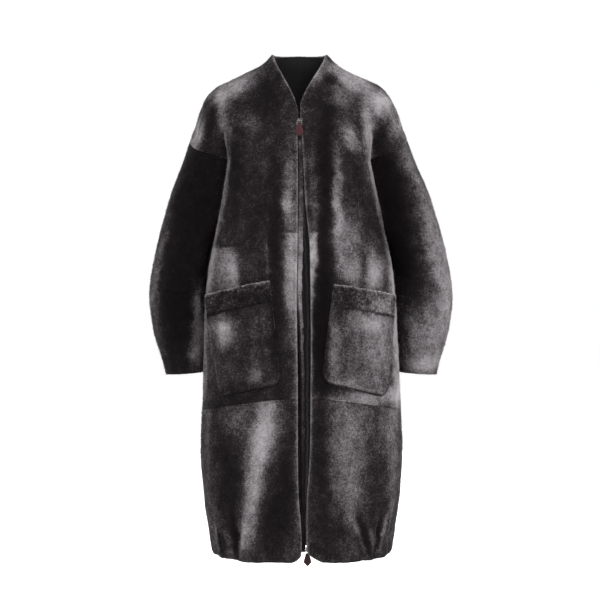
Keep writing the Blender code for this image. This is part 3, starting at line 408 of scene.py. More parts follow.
rowLines = fineLines(cut["hem"], cloth["rowSteps"], (0, cut["drop"], cut["underarm"], cut["skirt"], cut["hem"]))
halfSeams = 0, cut["crease"], cut["shoulder"], cut["side"], cut["backCrease"]
halfLines = fineLines(cut["half"], cloth["colSteps"], halfSeams)
colLines = np.concatenate([halfLines, 2 * cut["half"] - halfLines[::-1][1:]])


def sideOfRow(row, side):
    runs = rowRuns(row)
    past = runs[0][1 : form["pastCentre"]][::-1] * (-1, 1, 1)
    line = np.concatenate([past, runs[0]])
    steps = distances(line[:, :2])
    steps -= steps[len(past)]
    z = runs[0][0, 2]
    edges = between(edgeTable, z)
    fromCentre = float(((edges.left if side > 0 else edges.right) - leanAt(z)) * side)
    start = np.interp(fromCentre, line[:, 0], steps)
    shares = halfLines[halfLines <= cut["crease"]] / cut["crease"]
    places = start + (steps[-1] - start) * shares
    parts = [np.stack([np.interp(places, steps, line[:, i]) for i in range(3)], axis=1)]
    stops = cut["crease"], cut["side"], cut["backCrease"], cut["half"]
    for run, first, last in zip(runs[1:], stops, stops[1:]):
        within = halfLines[(halfLines > first) & (halfLines <= last)]
        parts.append(pointsAt(run, (within - first) / (last - first)))
    points = np.concatenate(parts)
    around = start + distances(points[:, :2])
    points[:, 0] *= side
    points[:, 0] += leanAt(points[:, 2])
    return points, around * side


def gridNormals(points):
    down, across = np.gradient(points, axis=0), np.gradient(points, axis=1)
    normals = np.cross(down, across)
    return normals / np.maximum(np.linalg.norm(normals, axis=2, keepdims=True), 1e-12)


def strokes(table, u, v, unitU=1.0, unitV=1.0):
    # how far the creases push the cloth out at (u, v), each measured in its unit
    total = np.zeros_like(u)
    for stroke in table.values():
        fromU, toU = stroke.fromAt * unitU, stroke.toAt * unitU
        fromV, toV = stroke.fromZ * unitV, stroke.toZ * unitV
        length = math.hypot(toU - fromU, toV - fromV)
        wayU, wayV = (toU - fromU) / length, (toV - fromV) / length
        du, dv = u * unitU - fromU, v * unitV - fromV
        along = (du * wayU + dv * wayV) / length
        off = np.abs(dv * wayU - du * wayV)
        fade = smoothStep(0.0, form["creaseFades"][0], along) * (1.0 - smoothStep(form["creaseFades"][1], 1.0, along))
        total += stroke.out * fade * np.exp(-((off / (stroke.width * unitU)) ** 2))
    return total


def hangOut(around, z):
    total = np.zeros_like(around)
    for fold in hangs.values():
        down = np.clip((fold.topZ - z) / (fold.topZ - fold.lowZ), 0.0, 1.0)
        centre = fold.topAt + (fold.lowAt - fold.topAt) * down
        strength = smoothStep(0.0, form["hangFades"], down)
        total += fold.out * strength * np.exp(-(((around - centre) / fold.width) ** 2))
    return total


def noiseAt(points, size, seed):
    flat = points.reshape(-1, 3) / size + seed
    return np.array([noise.noise(Vector(spot)) for spot in flat]).reshape(points.shape[:-1])


def unevenness(points):
    total = surface["sag"] * noiseAt(points, surface["sagSize"], form["seedSag"])
    total += surface["dent"] * noiseAt(points, surface["dentSize"], form["seedDent"])
    return total + surface["tuft"] * noiseAt(points, surface["tuftSize"], form["seedTuft"])


def blurred(field, passes):
    # evened out over the neighbouring grid points, its rim along itself only
    for _ in range(passes):
        for axis in (0, 1):
            field = np.moveaxis(field, axis, 0).copy()
            field[1:-1] = 0.25 * field[:-2] + 0.5 * field[1:-1] + 0.25 * field[2:]
            field = np.moveaxis(field, 0, axis)
    return field


def makeBodyGrid():
    left = [sideOfRow(row, 1) for row in rowLines]
    right = [sideOfRow(row, -1) for row in rowLines]
    points = np.array([np.concatenate([a[0], b[0][::-1][1:]]) for a, b in zip(left, right)])
    around = np.array([np.concatenate([a[1], b[1][::-1][1:]]) for a, b in zip(left, right)])
    outward = gridNormals(points) * (1, 1, 0)
    outward /= np.maximum(np.linalg.norm(outward, axis=2, keepdims=True), 1e-9)
    turned = indexOf(rowLines, form["turnedUp"])
    outward[turned:] = outward[turned]
    hung = hangOut(around, points[:, :, 2])
    # behind, distances are counted on round past centre back, for the creases that cross it
    wrapped = np.where(around < 0, around + form["girth"], around)
    creased = strokes(creases, around, points[:, :, 2]) + strokes(backCreases, wrapped, points[:, :, 2])
    # the hide side follows the folds, and the creases only softly
    softly = np.minimum(blurred(creased, form["underBlur"]), creased + cloth["wall"] - form["leastWall"])
    under = points + outward * (hung + softly)[:, :, None]
    points = points + outward * (hung + creased)[:, :, None]
    points = points + gridNormals(points) * unevenness(points)[:, :, None]
    return points, gridNormals(points), around, under, gridNormals(under)


def armholeLoop(side):
    # grid places from under the arm up the front crease, over the arm and down the back, and their sleeve columns
    under, drop, front, back, seam = (cut[key] for key in ("underarm", "drop", "crease", "backCrease", "side"))
    loop = [(under, x) for x in halfLines[(halfLines > front) & (halfLines <= seam)][::-1]]
    loop += [(x, front) for x in rowLines[(rowLines > drop) & (rowLines <= under)][::-1]]
    loop += [(drop, x) for x in halfLines[(halfLines >= front) & (halfLines < back)]]
    loop += [(x, back) for x in rowLines[(rowLines >= drop) & (rowLines < under)]]
    loop += [(under, x) for x in halfLines[(halfLines >= seam) & (halfLines <= back)][::-1]]
    marks = np.concatenate([[0.0], np.cumsum(np.abs(np.diff(np.array(loop), axis=0)).sum(axis=1))])
    places = []
    for row, col in loop:
        places.append((indexOf(rowLines, row), indexOf(colLines, col if side > 0 else 2 * cut["half"] - col)))
    return places, marks


sleeveLines = fineLines(cut["cuff"], cloth["sleeveSteps"], (0, cut["elbow"], cut["cuff"]))


def makeSleeveGrid(points, side):
    loop, marks = armholeLoop(side)
    armhole = np.array([points[place] for place in loop])
    armhole[:, 0] -= leanAt(armhole[:, 2])
    armhole[:, 0] *= side

    def ringFrame(row):
        now = between(sleeveTable, row)
        outer = np.array([now.outerX, now.midY, now.outerZ])
        inner = np.array([now.innerX, now.midY, now.innerZ])
        reach = (outer - inner) / 2
        direction = reach / np.linalg.norm(reach)
        return (outer + inner) / 2, reach, direction, np.array([direction[2], 0.0, -direction[0]]), now.halfDepth

    centre, reach, direction, axis, halfDepth = ringFrame(0)
    offset = armhole - centre
    across, deep = offset @ direction / np.linalg.norm(reach), offset[:, 1] / halfDepth
    along = offset @ axis
    natural = np.unwrap(np.arctan2(-deep, across))
    if natural[-1] > natural[0]:
        natural = -natural
    radius = np.hypot(across, deep)
    even = math.pi - 2 * math.pi * marks / cut["loop"]
    turn = float(np.trapz(natural, marks) / cut["loop"])
    if abs(turn) > math.pi:
        natural = natural - 2 * math.pi * round(turn / (2 * math.pi))
        turn = float(np.trapz(natural, marks) / cut["loop"])
    nearCorners = sum(np.exp(-(((marks - corner) / form["cornerReach"]) ** 2)) for corner in form["armholeCorners"])
    nearCorners = np.minimum(nearCorners, 1.0)
    rows = []
    for row in sleeveLines:
        centre, reach, direction, axis, halfDepth = ringFrame(row)
        settled = float(smoothStep(0.0, form["sleeveSettles"], row))
        angle = natural - turn * float(smoothStep(0.0, 2.0, row))
        angle = angle + (even - angle) * settled * form["sleeveEvens"]
        size = radius + (1.0 - radius) * settled
        ring = centre + np.outer(size * np.cos(angle), reach)
        ring[:, 1] += -size * np.sin(angle) * halfDepth
        ring += np.outer(along * (1.0 - settled), axis)
        # the armhole's corners fade out down the sleeve
        begins, ends = form["cornerRows"]
        fades = float(smoothStep(*begins, row) * (1.0 - smoothStep(*ends, row)))
        soft = ring.copy()
        for _ in range(int(form["cornerBlur"] * fades)):
            soft[:-1] = 0.25 * np.roll(soft[:-1], 1, axis=0) + 0.5 * soft[:-1] + 0.25 * np.roll(soft[:-1], -1, axis=0)
            soft[-1] = soft[0]
        ring = ring + (soft - ring) * nearCorners[:, None]
        rows.append(ring if row else armhole)
    grid = np.array(rows)
    grid[:, :, 0] *= side
    grid[:, :, 0] += leanAt(grid[:, :, 2])

    def outward(shape):
        found = gridNormals(shape) * side
        seam = found[:, 0] + found[:, -1]
        found[:, 0] = found[:, -1] = seam / np.linalg.norm(seam, axis=1, keepdims=True)
        return found

    normals = outward(grid)
    u = np.broadcast_to(marks, grid.shape[:2])
    v = np.broadcast_to(sleeveLines[:, None], grid.shape[:2])
    out = strokes(sleeveCreases, u, v, *form["sleeveUnits"])
    out = out * smoothStep(0.0, 0.8, v) * smoothStep(0.0, 1.2, u) * smoothStep(0.0, 1.2, cut["loop"] - u)
    under = grid + normals * blurred(out, form["underBlur"])[:, :, None]
    under[0] = [bodyUnder[place] for place in loop]
    flat = unevenness(grid)
    flat[:, -1] = flat[:, 0]
    grid = grid + normals * (out + flat * smoothStep(0.0, 0.4, v))[:, :, None]
    return grid, outward(grid), loop, marks, under, outward(under)


bodyPoints, bodyNormals, bodyAround, bodyUnder, underNormals = makeBodyGrid()
sleeves = {}
for sleeveName, sleeveSide in (("left", 1), ("right", -1)):
    sleeves[sleeveName] = makeSleeveGrid(bodyPoints, sleeveSide)
print("grids", bodyPoints.shape, sleeves["left"][0].shape)


def downAcross(points):
    down = np.zeros(points.shape[:2])
    down[1:] = np.cumsum(np.linalg.norm(np.diff(points, axis=0), axis=2), axis=0)
    across = np.zeros(points.shape[:2])
    across[:, 1:] = np.cumsum(np.linalg.norm(np.diff(points, axis=1), axis=2), axis=1)
    return down, across


def seamDistance(points, rows, cols, seam):
    # distance of every grid point from a seam that runs along a row or a column
    down, across = downAcross(points)
    rowFrom, rowTo, colFrom, colTo = seam
    r0, r1 = indexOf(rows, rowFrom), indexOf(rows, rowTo)
    c0, c1 = indexOf(cols, colFrom), indexOf(cols, colTo)
    beside = np.maximum(0, np.maximum(across[:, [c0]] - across, across - across[:, [c1]]))
    above = np.maximum(0, np.maximum(down[[r0], :] - down, down - down[[r1], :]))
    return np.hypot(beside, above)


def roundedDrop(distance, radius):
    inside = np.clip(radius - distance, 0.0, radius)
    return radius - np.sqrt(radius ** 2 - inside ** 2)


def dropAlong(points, rows, cols, seams):
    total = np.zeros(points.shape[:2])
    for seam, radius in seams:
        total = np.maximum(total, roundedDrop(seamDistance(points, rows, cols, seam), radius))
    return total


def bothSides(seams):
    last = 2 * cut["half"]
    return seams + [((r0, r1, last - c1, last - c0), radius) for (r0, r1, c0, c1), radius in seams]


free, soft = cloth["freeRound"], cloth["seamRound"]
bodySeams = bothSides([
    ((0, 0, 0, 21), free),
    ((32, 32, 0, 21), free),
    ((0, 32, 0, 0), cloth["frontRound"]),
    ((0, 8, 10, 10), soft),
    ((13, 32, 11, 11), soft),
    ((22, 22, 0, 21), soft),
    ((8, 8, 8, 14), soft),
    ((13, 13, 8, 14), soft),
    ((8, 13, 8, 8), soft),
    ((8, 13, 14, 14), soft),
])
sleeveSeams = [((0, 0, 0, 22), soft), ((6, 6, 0, 22), soft), ((11, 11, 0, 22), free), ((0, 11, 0, 0), soft),
               ((0, 11, 22, 22), soft)]


def standBack(points, inside, gap):
    # edge points of a piece move into it by the seam's gap
    ways = {}
    rows, cols = inside.shape
    padded = np.zeros((rows + 2, cols + 2), bool)
    padded[1:-1, 1:-1] = inside
    for down, right, a, b in (
        (-1, 0, (0, 0), (0, 1)),
        (1, 0, (1, 0), (1, 1)),
        (0, -1, (0, 0), (1, 0)),
        (0, 1, (0, 1), (1, 1)),
    ):
        beyond = padded[1 + down : rows + 1 + down, 1 + right : cols + 1 + right]
        for row, col in np.argwhere(inside & ~beyond):
            start, end = (row + a[0], col + a[1]), (row + b[0], col + b[1])
            middle = points[row : row + 2, col : col + 2].mean(axis=(0, 1))
            along = points[end] - points[start]
            along = along / max(np.linalg.norm(along), 1e-9)
            inward = middle - points[start]
            inward = inward - along * (inward @ along)
            inward = inward / max(np.linalg.norm(inward), 1e-9)
            for place in (start, end):
                ways.setdefault(place, []).append(inward)
    shifts = np.zeros_like(points)
    for place, found in ways.items():
        mean = np.mean(found, axis=0)
        shifts[place] = mean / max(mean @ mean, 0.25) * gap
    return shifts


def makeWall(name, outer, inner, inside, materials, tones=None, gap=None):
    # a closed wall over the chosen cells of a grid, its inner face in the second material
    rows, cols = np.argwhere(inside).min(axis=0), np.argwhere(inside).max(axis=0) + 1
    (r0, c0), (r1, c1) = rows, cols
    inside = inside[r0:r1, c0:c1]
    outer, inner = outer[r0 : r1 + 1, c0 : c1 + 1], inner[r0 : r1 + 1, c0 : c1 + 1]
    high, wide = inside.shape
    mesh = bmesh.new()
    bmesh.ops.create_grid(mesh, x_segments=wide, y_segments=high, size=0.5)
    for vert in mesh.verts:
        vert.co = (round((vert.co.x + 0.5) * wide), round((vert.co.y + 0.5) * high), 0.0)
    if not inside.all():
        outside = []
        for face in mesh.faces:
            middle = face.calc_center_median()
            if not inside[int(middle.y), int(middle.x)]:
                outside.append(face)
        bmesh.ops.delete(mesh, geom=outside, context="FACES")
    pushed = bmesh.ops.extrude_face_region(mesh, geom=list(mesh.faces), use_keep_orig=True)
    for item in pushed["geom"]:
        if isinstance(item, bmesh.types.BMVert):
            item.co.z = 1.0
    bmesh.ops.recalc_face_normals(mesh, faces=mesh.faces)
    for face in mesh.faces:
        face.smooth = True
        face.material_index = 1 if len(materials) > 1 and all(v.co.z > 0.5 for v in face.verts) else 0
    data = bpy.data.meshes.new(name)
    mesh.to_mesh(data)
    mesh.free()
    spots = np.empty(len(data.vertices) * 3, np.float32)
    data.vertices.foreach_get("co", spots)
    spots = spots.reshape(-1, 3).round().astype(int)
    shifts = standBack(outer, inside, cloth["seamGap"] if gap is None else gap)
    layers = np.stack([outer + shifts, inner + shifts])
    placed = layers[spots[:, 2], spots[:, 1], spots[:, 0]]
    data.vertices.foreach_set("co", placed.astype(np.float32).ravel())
    if tones is not None:
        tones = tones[r0 : r1 + 1, c0 : c1 + 1]
        data.attributes.new("pileToneAndShade", "FLOAT", "POINT").data.foreach_set(
            "value", tones[spots[:, 1], spots[:, 0]].astype(np.float32))
    data.update()
    made = finishPiece(name, data, materials)
    if tones is not None:
        grownPile[made.name] = growPile(name, layers[0], layers[1], inside, tones)
    return made


# loose ends of the pile, one slim face each
pileEnds = {
    "perArea": 128000,
    "length": 0.0036,
    "lengthSpread": 0.30,
    "wide": 0.00062,
    "stand": 0.62,
    "fall": 0.55,
    "stray": 0.36,
    "sink": 0.0005,
    "paler": 0.04,
    "toneSpread": 0.24,
    "seed": 5,
    "leastOut": 0.30,
    "clearX": (-0.014, 0.006),
    "clearZ": (-0.150, -0.108),
}
grownPile = {}


def growPile(name, outer, inner, inside, tones):
    corners = [outer[:-1, :-1], outer[:-1, 1:], outer[1:, 1:], outer[1:, :-1]]
    cross = np.cross(corners[2] - corners[0], corners[3] - corners[1])
    out = (outer - inner)[:-1, :-1]
    cross *= np.sign((cross * out).sum(axis=2))[:, :, None]
    area = np.linalg.norm(cross, axis=2) / 2
    random = np.random.default_rng(pileEnds["seed"] + sum(map(ord, name)))
    count = random.poisson(np.where(inside, area, 0.0) * pileEnds["perArea"])
    i, j = (np.repeat(part.ravel(), count.ravel()) for part in np.indices(count.shape))
    s, t = random.random((2, len(i), 1))
    weights = ((1 - s) * (1 - t), (1 - s) * t, s * t, s * (1 - t))
    root = sum(part * corner[i, j] for part, corner in zip(weights, corners))
    # none round the top pull, which lies on the pile
    (left, right), (low, high) = pileEnds["clearX"], pileEnds["clearZ"]
    free = (root[:, 0] < left) | (root[:, 0] > right) | (root[:, 2] < low) | (root[:, 2] > high) | (root[:, 1] > 0)
    i, j, root = i[free], j[free], root[free]
    normal = cross[i, j] / np.maximum(np.linalg.norm(cross[i, j], axis=1, keepdims=True), 1e-9)
    fall = np.array((0.0, 0.0, -1.0)) + normal * normal[:, 2:]
    stray = random.normal(0.0, pileEnds["stray"], (len(i), 3))
    way = normal * pileEnds["stand"] + fall * pileEnds["fall"] + stray
    way += normal * np.maximum(0.0, pileEnds["leastOut"] - (way * normal).sum(axis=1, keepdims=True))
    way /= np.linalg.norm(way, axis=1, keepdims=True)
    across = np.cross(way, random.normal(0.0, 1.0, (len(i), 3)))
    across /= np.linalg.norm(across, axis=1, keepdims=True)
    across *= pileEnds["wide"] / 2
    length = pileEnds["length"] * (1 + pileEnds["lengthSpread"] * random.uniform(-1, 1, (len(i), 1)))
    root -= normal * pileEnds["sink"]
    points = np.stack([root - across, root + across, root + way * length], axis=1).reshape(-1, 3)
    data = bpy.data.meshes.new(name + "Pile")
    data.vertices.add(len(points))
    data.vertices.foreach_set("co", points.astype(np.float32).ravel())
    data.loops.add(len(points))
    data.loops.foreach_set("vertex_index", np.arange(len(points), dtype=np.int32))
    data.polygons.add(len(i))
    data.polygons.foreach_set("loop_start", np.arange(0, len(points), 3, dtype=np.int32))
    data.update(calc_edges=True)
    tone = tones[i, j] + pileEnds["paler"] + pileEnds["toneSpread"] * random.uniform(-1, 1, len(i))
    data.attributes.new("pileToneAndShade", "FLOAT", "POINT").data.foreach_set("value", np.repeat(tone, 3).astype(np.float32))
    data.materials.append(looseEnds)
    made = bpy.data.objects.new(name + "Pile", data)
    bpy.context.scene.collection.objects.link(made)
    return made


def volumeOf(data):
    data.calc_loop_triangles()
    tris = np.empty(len(data.loop_triangles) * 3, np.int32)
    data.loop_triangles.foreach_get("vertices", tris)
    spots = np.empty(len(data.vertices) * 3, np.float32)
    data.vertices.foreach_get("co", spots)
    corners = spots.reshape(-1, 3).astype(float)[tris.reshape(-1, 3)]
    return float(np.linalg.det(corners).sum() / 6)


def finishPiece(name, data, materials):
    if volumeOf(data) < 0:
        data.flip_normals()
    for finish in materials:
        data.materials.append(finish)
    made = bpy.data.objects.new(name, data)
    bpy.context.scene.collection.objects.link(made)
    return made


def meshPiece(name, mesh, materials, smooth=True):
    data = bpy.data.meshes.new(name)
    mesh.to_mesh(data)
    mesh.free()
    if smooth:
        data.shade_smooth()
        data.set_sharp_from_angle(angle=math.radians(40))
    return finishPiece(name, data, materials)


def hold(obj, body, nodes):
    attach(obj, body)
    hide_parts(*nodes)
    if obj.name in grownPile:
        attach(grownPile[obj.name], body)


def link(tree, a, b):
    tree.links.new(a, b)


def addNode(tree, kind, **inputs):
    node = tree.nodes.new(kind)
    for key, value in inputs.items():
        setattr(node, key, value)
    return node


def noiseNode(tree, coords, scale, detail, roughness=0.5, stretch=None):
    if stretch:
        mapping = addNode(tree, "ShaderNodeMapping")
        mapping.inputs["Scale"].default_value = stretch
        link(tree, coords, mapping.inputs["Vector"])
        coords = mapping.outputs["Vector"]
    node = addNode(tree, "ShaderNodeTexNoise")
    node.inputs["Scale"].default_value = scale
    node.inputs["Detail"].default_value = detail
    node.inputs["Roughness"].default_value = roughness
    link(tree, coords, node.inputs["Vector"])
    return node.outputs["Fac"]


def mathNode(tree, operation, a, b, third=None):
    node = addNode(tree, "ShaderNodeMath", operation=operation)
    for slotIndex, value in enumerate((a, b, third)):
        if value is None:
            continue
        if isinstance(value, (int, float)):
            node.inputs[slotIndex].default_value = value
        else:
            link(tree, value, node.inputs[slotIndex])
    return node.outputs[0]


def rampNode(tree, factor, stops):
    node = addNode(tree, "ShaderNodeValToRGB")
    ramp = node.color_ramp
    while len(ramp.elements) < len(stops):
        ramp.elements.new(0.5)
    for element, (place, colour) in zip(ramp.elements, stops):
        element.position = place
        element.color = (*colour, 1.0)
    link(tree, factor, node.inputs["Fac"])
    return node.outputs["Color"]


pile = {
    # tone, then colour
    "ramp": [
        (0.00, (0.0028, 0.0023, 0.0025)),
        (0.22, (0.0065, 0.0054, 0.0059)),
        (0.34, (0.0180, 0.0156, 0.0167)),
        (0.43, (0.0450, 0.0405, 0.0428)),
        (0.53, (0.0940, 0.0866, 0.0906)),
        (0.64, (0.1600, 0.1488, 0.1552)),
        (0.80, (0.2500, 0.2355, 0.2440)),
        (1.00, (0.3000, 0.2840, 0.2940)),
    ],
    "tonePart": 0.80,
    "mottle": 0.42,
    "fleck": 0.34,
    "grain": 0.72,
    "roughness": 0.92,
    "specular": 0.03,
    "sheen": 0.50,
    "sheenRough": 0.12,
    "sheenTint": (0.62, 0.58, 0.61),
    "bump": 0.55,
    "bumpDepth": 0.0016,
    "mottleScale": 42.0,
    "fleckScale": 170.0,
    "grainScale": 430.0,
    "curlFleck": 0.35,
    "curlScale": 150.0,
    "curlSmooth": 0.6,
    "curlHeight": 2.2,
    "grainHeight": 0.55,
    "fleckHeight": 0.8,
}


def newFinish(name):
    finish = bpy.data.materials.new(name)
    finish.use_nodes = True
    tree = finish.node_tree
    return finish, tree, tree.nodes["Principled BSDF"], addNode(tree, "ShaderNodeTexCoord").outputs["Object"]


def addBump(tree, shader, height, strength, depth):
    bump = addNode(tree, "ShaderNodeBump")
    bump.inputs["Strength"].default_value = strength
    bump.inputs["Distance"].default_value = depth
    link(tree, height, bump.inputs["Height"])
    link(tree, bump.outputs["Normal"], shader.inputs["Normal"])


def makePile(name, curl=0.0, ends=False):
    # curl makes the longer, curlier pile; ends is the plainer finish of the loose ends
    finish, tree, shader, coords = newFinish(name)
    # the tone attribute holds the pile's own tones together with the painted highlights and shade
    tone = addNode(tree, "ShaderNodeAttribute", attribute_name="pileToneAndShade").outputs["Fac"]
    mottle = noiseNode(tree, coords, pile["mottleScale"], 3.0, 0.60, (1.0, 1.0, 0.85))
    fleck = noiseNode(tree, coords, pile["fleckScale"], 2.0, 0.6)
    grain = noiseNode(tree, coords, pile["grainScale"], 2.0, 0.7)
    value = tone
    for part, amount in (
        (mottle, pile["mottle"]), (fleck, pile["fleck"] + curl * pile["curlFleck"]), (grain, pile["grain"])
    ):
        value = mathNode(tree, "MULTIPLY_ADD", mathNode(tree, "SUBTRACT", part, 0.5), amount, value)
    value = mathNode(tree, "MULTIPLY", value, pile["tonePart"])
    colour = rampNode(tree, value, pile["ramp"])
    link(tree, colour, shader.inputs["Base Color"])
    shader.inputs["Roughness"].default_value = pile["roughness"]
    shader.inputs["Specular IOR Level"].default_value = pile["specular"]
    shader.inputs["Sheen Weight"].default_value = pile["sheen"]
    shader.inputs["Sheen Roughness"].default_value = pile["sheenRough"]
    shader.inputs["Sheen Tint"].default_value = (*pile["sheenTint"], 1.0)
    if ends:
        return finish
    height = mathNode(tree, "MULTIPLY", fleck, pile["fleckHeight"])
    height = mathNode(tree, "MULTIPLY_ADD", grain, pile["grainHeight"], height)
    if curl:
        curls = addNode(tree, "ShaderNodeTexVoronoi", feature="SMOOTH_F1")
        curls.inputs["Scale"].default_value = pile["curlScale"]
        curls.inputs["Smoothness"].default_value = pile["curlSmooth"]
        link(tree, coords, curls.inputs["Vector"])
        height = mathNode(tree, "MULTIPLY_ADD", curls.outputs["Distance"], curl * pile["curlHeight"], height)
    addBump(tree, shader, height, pile["bump"], pile["bumpDepth"])
    return finish


plain = {
    "bump": 0.6,
    "detail": 4.0,
    "uneven": 0.6,
    "roughSpread": 0.12,
}


def makePlain(name, colour, roughness, metallic=0.0, variation=0.3, scale=300.0, bumpDepth=0.0002, stretch=None,
              specular=0.5):
    finish, tree, shader, coords = newFinish(name)
    grain = noiseNode(tree, coords, scale, plain["detail"], plain["uneven"], stretch)
    low = tuple(part * (1.0 - variation) for part in colour)
    high = tuple(min(1.0, part * (1.0 + variation)) for part in colour)
    link(tree, rampNode(tree, grain, [(0.3, low), (0.7, high)]), shader.inputs["Base Color"])
    rough = addNode(tree, "ShaderNodeMapRange")
    rough.inputs["To Min"].default_value = max(0.0, roughness - plain["roughSpread"])
    rough.inputs["To Max"].default_value = min(1.0, roughness + plain["roughSpread"])
    link(tree, grain, rough.inputs["Value"])
    link(tree, rough.outputs["Result"], shader.inputs["Roughness"])
    shader.inputs["Metallic"].default_value = metallic
    shader.inputs["Specular IOR Level"].default_value = specular
    addBump(tree, shader, grain, plain["bump"], bumpDepth)
    return finish


shearedPile = makePile("shearedPile")
curledPile = makePile("curledPile", curl=1.0)
looseEnds = makePile("looseEnds", ends=True)
hide = makePlain("dyedHide", (0.010, 0.009, 0.0095), 0.85, variation=0.35, scale=160.0, specular=0.25)
# the tape and the teeth are their own black, darkened further for the shade deep in the gap between the fronts
wovenTape = makePlain("wovenTape", (0.0040, 0.0036, 0.0038), 0.9, variation=0.4, scale=900.0,
                      stretch=(1.0, 1.0, 2.5), specular=0.08)
metalGrain = {"metallic": 1.0, "scale": 700.0, "bumpDepth": 0.00005}
toothMetal = makePlain("toothMetal", (0.022, 0.021, 0.0205), 0.42, variation=0.3, **metalGrain)
zipMetal = makePlain("zipMetal", (0.17, 0.16, 0.155), 0.34, variation=0.2, **metalGrain)
leatherGrain = {"variation": 0.35, "scale": 420.0, "bumpDepth": 0.00018}
tabLeather = makePlain("tabLeather", (0.034, 0.0075, 0.0105), 0.58, specular=0.12, **leatherGrain)
# the lower tab's leather is the top tab's leather darkened for the shade it hangs in under the hem
shadedTabLeather = makePlain("shadedTabLeather", (0.0150, 0.0055, 0.0065), 0.6, specular=0.10, **leatherGrain)
tabEdge = makePlain("tabEdge", (0.022, 0.010, 0.010), 0.6, variation=0.3, scale=500.0)
tabThread = makePlain("tabThread", (0.055, 0.021, 0.020), 0.7, variation=0.2, scale=900.0)

# lights and darks in the pile, partly its own patches where the nap lies differently and partly painted highlights on
# ridges, rims and crests and painted shade in troughs, valleys, tucks and beside the body on the sleeves:
# x and z on the coat, half width and half height, lean in degrees, amount; cut off above topZ where a seam ends it
toneRow = namedtuple("toneRow", "x z wide high lean amount topZ")


def tone(x, z, wide, high, lean, amount, topZ=9.0):
    return toneRow(x, z, wide, high, lean, amount, topZ)


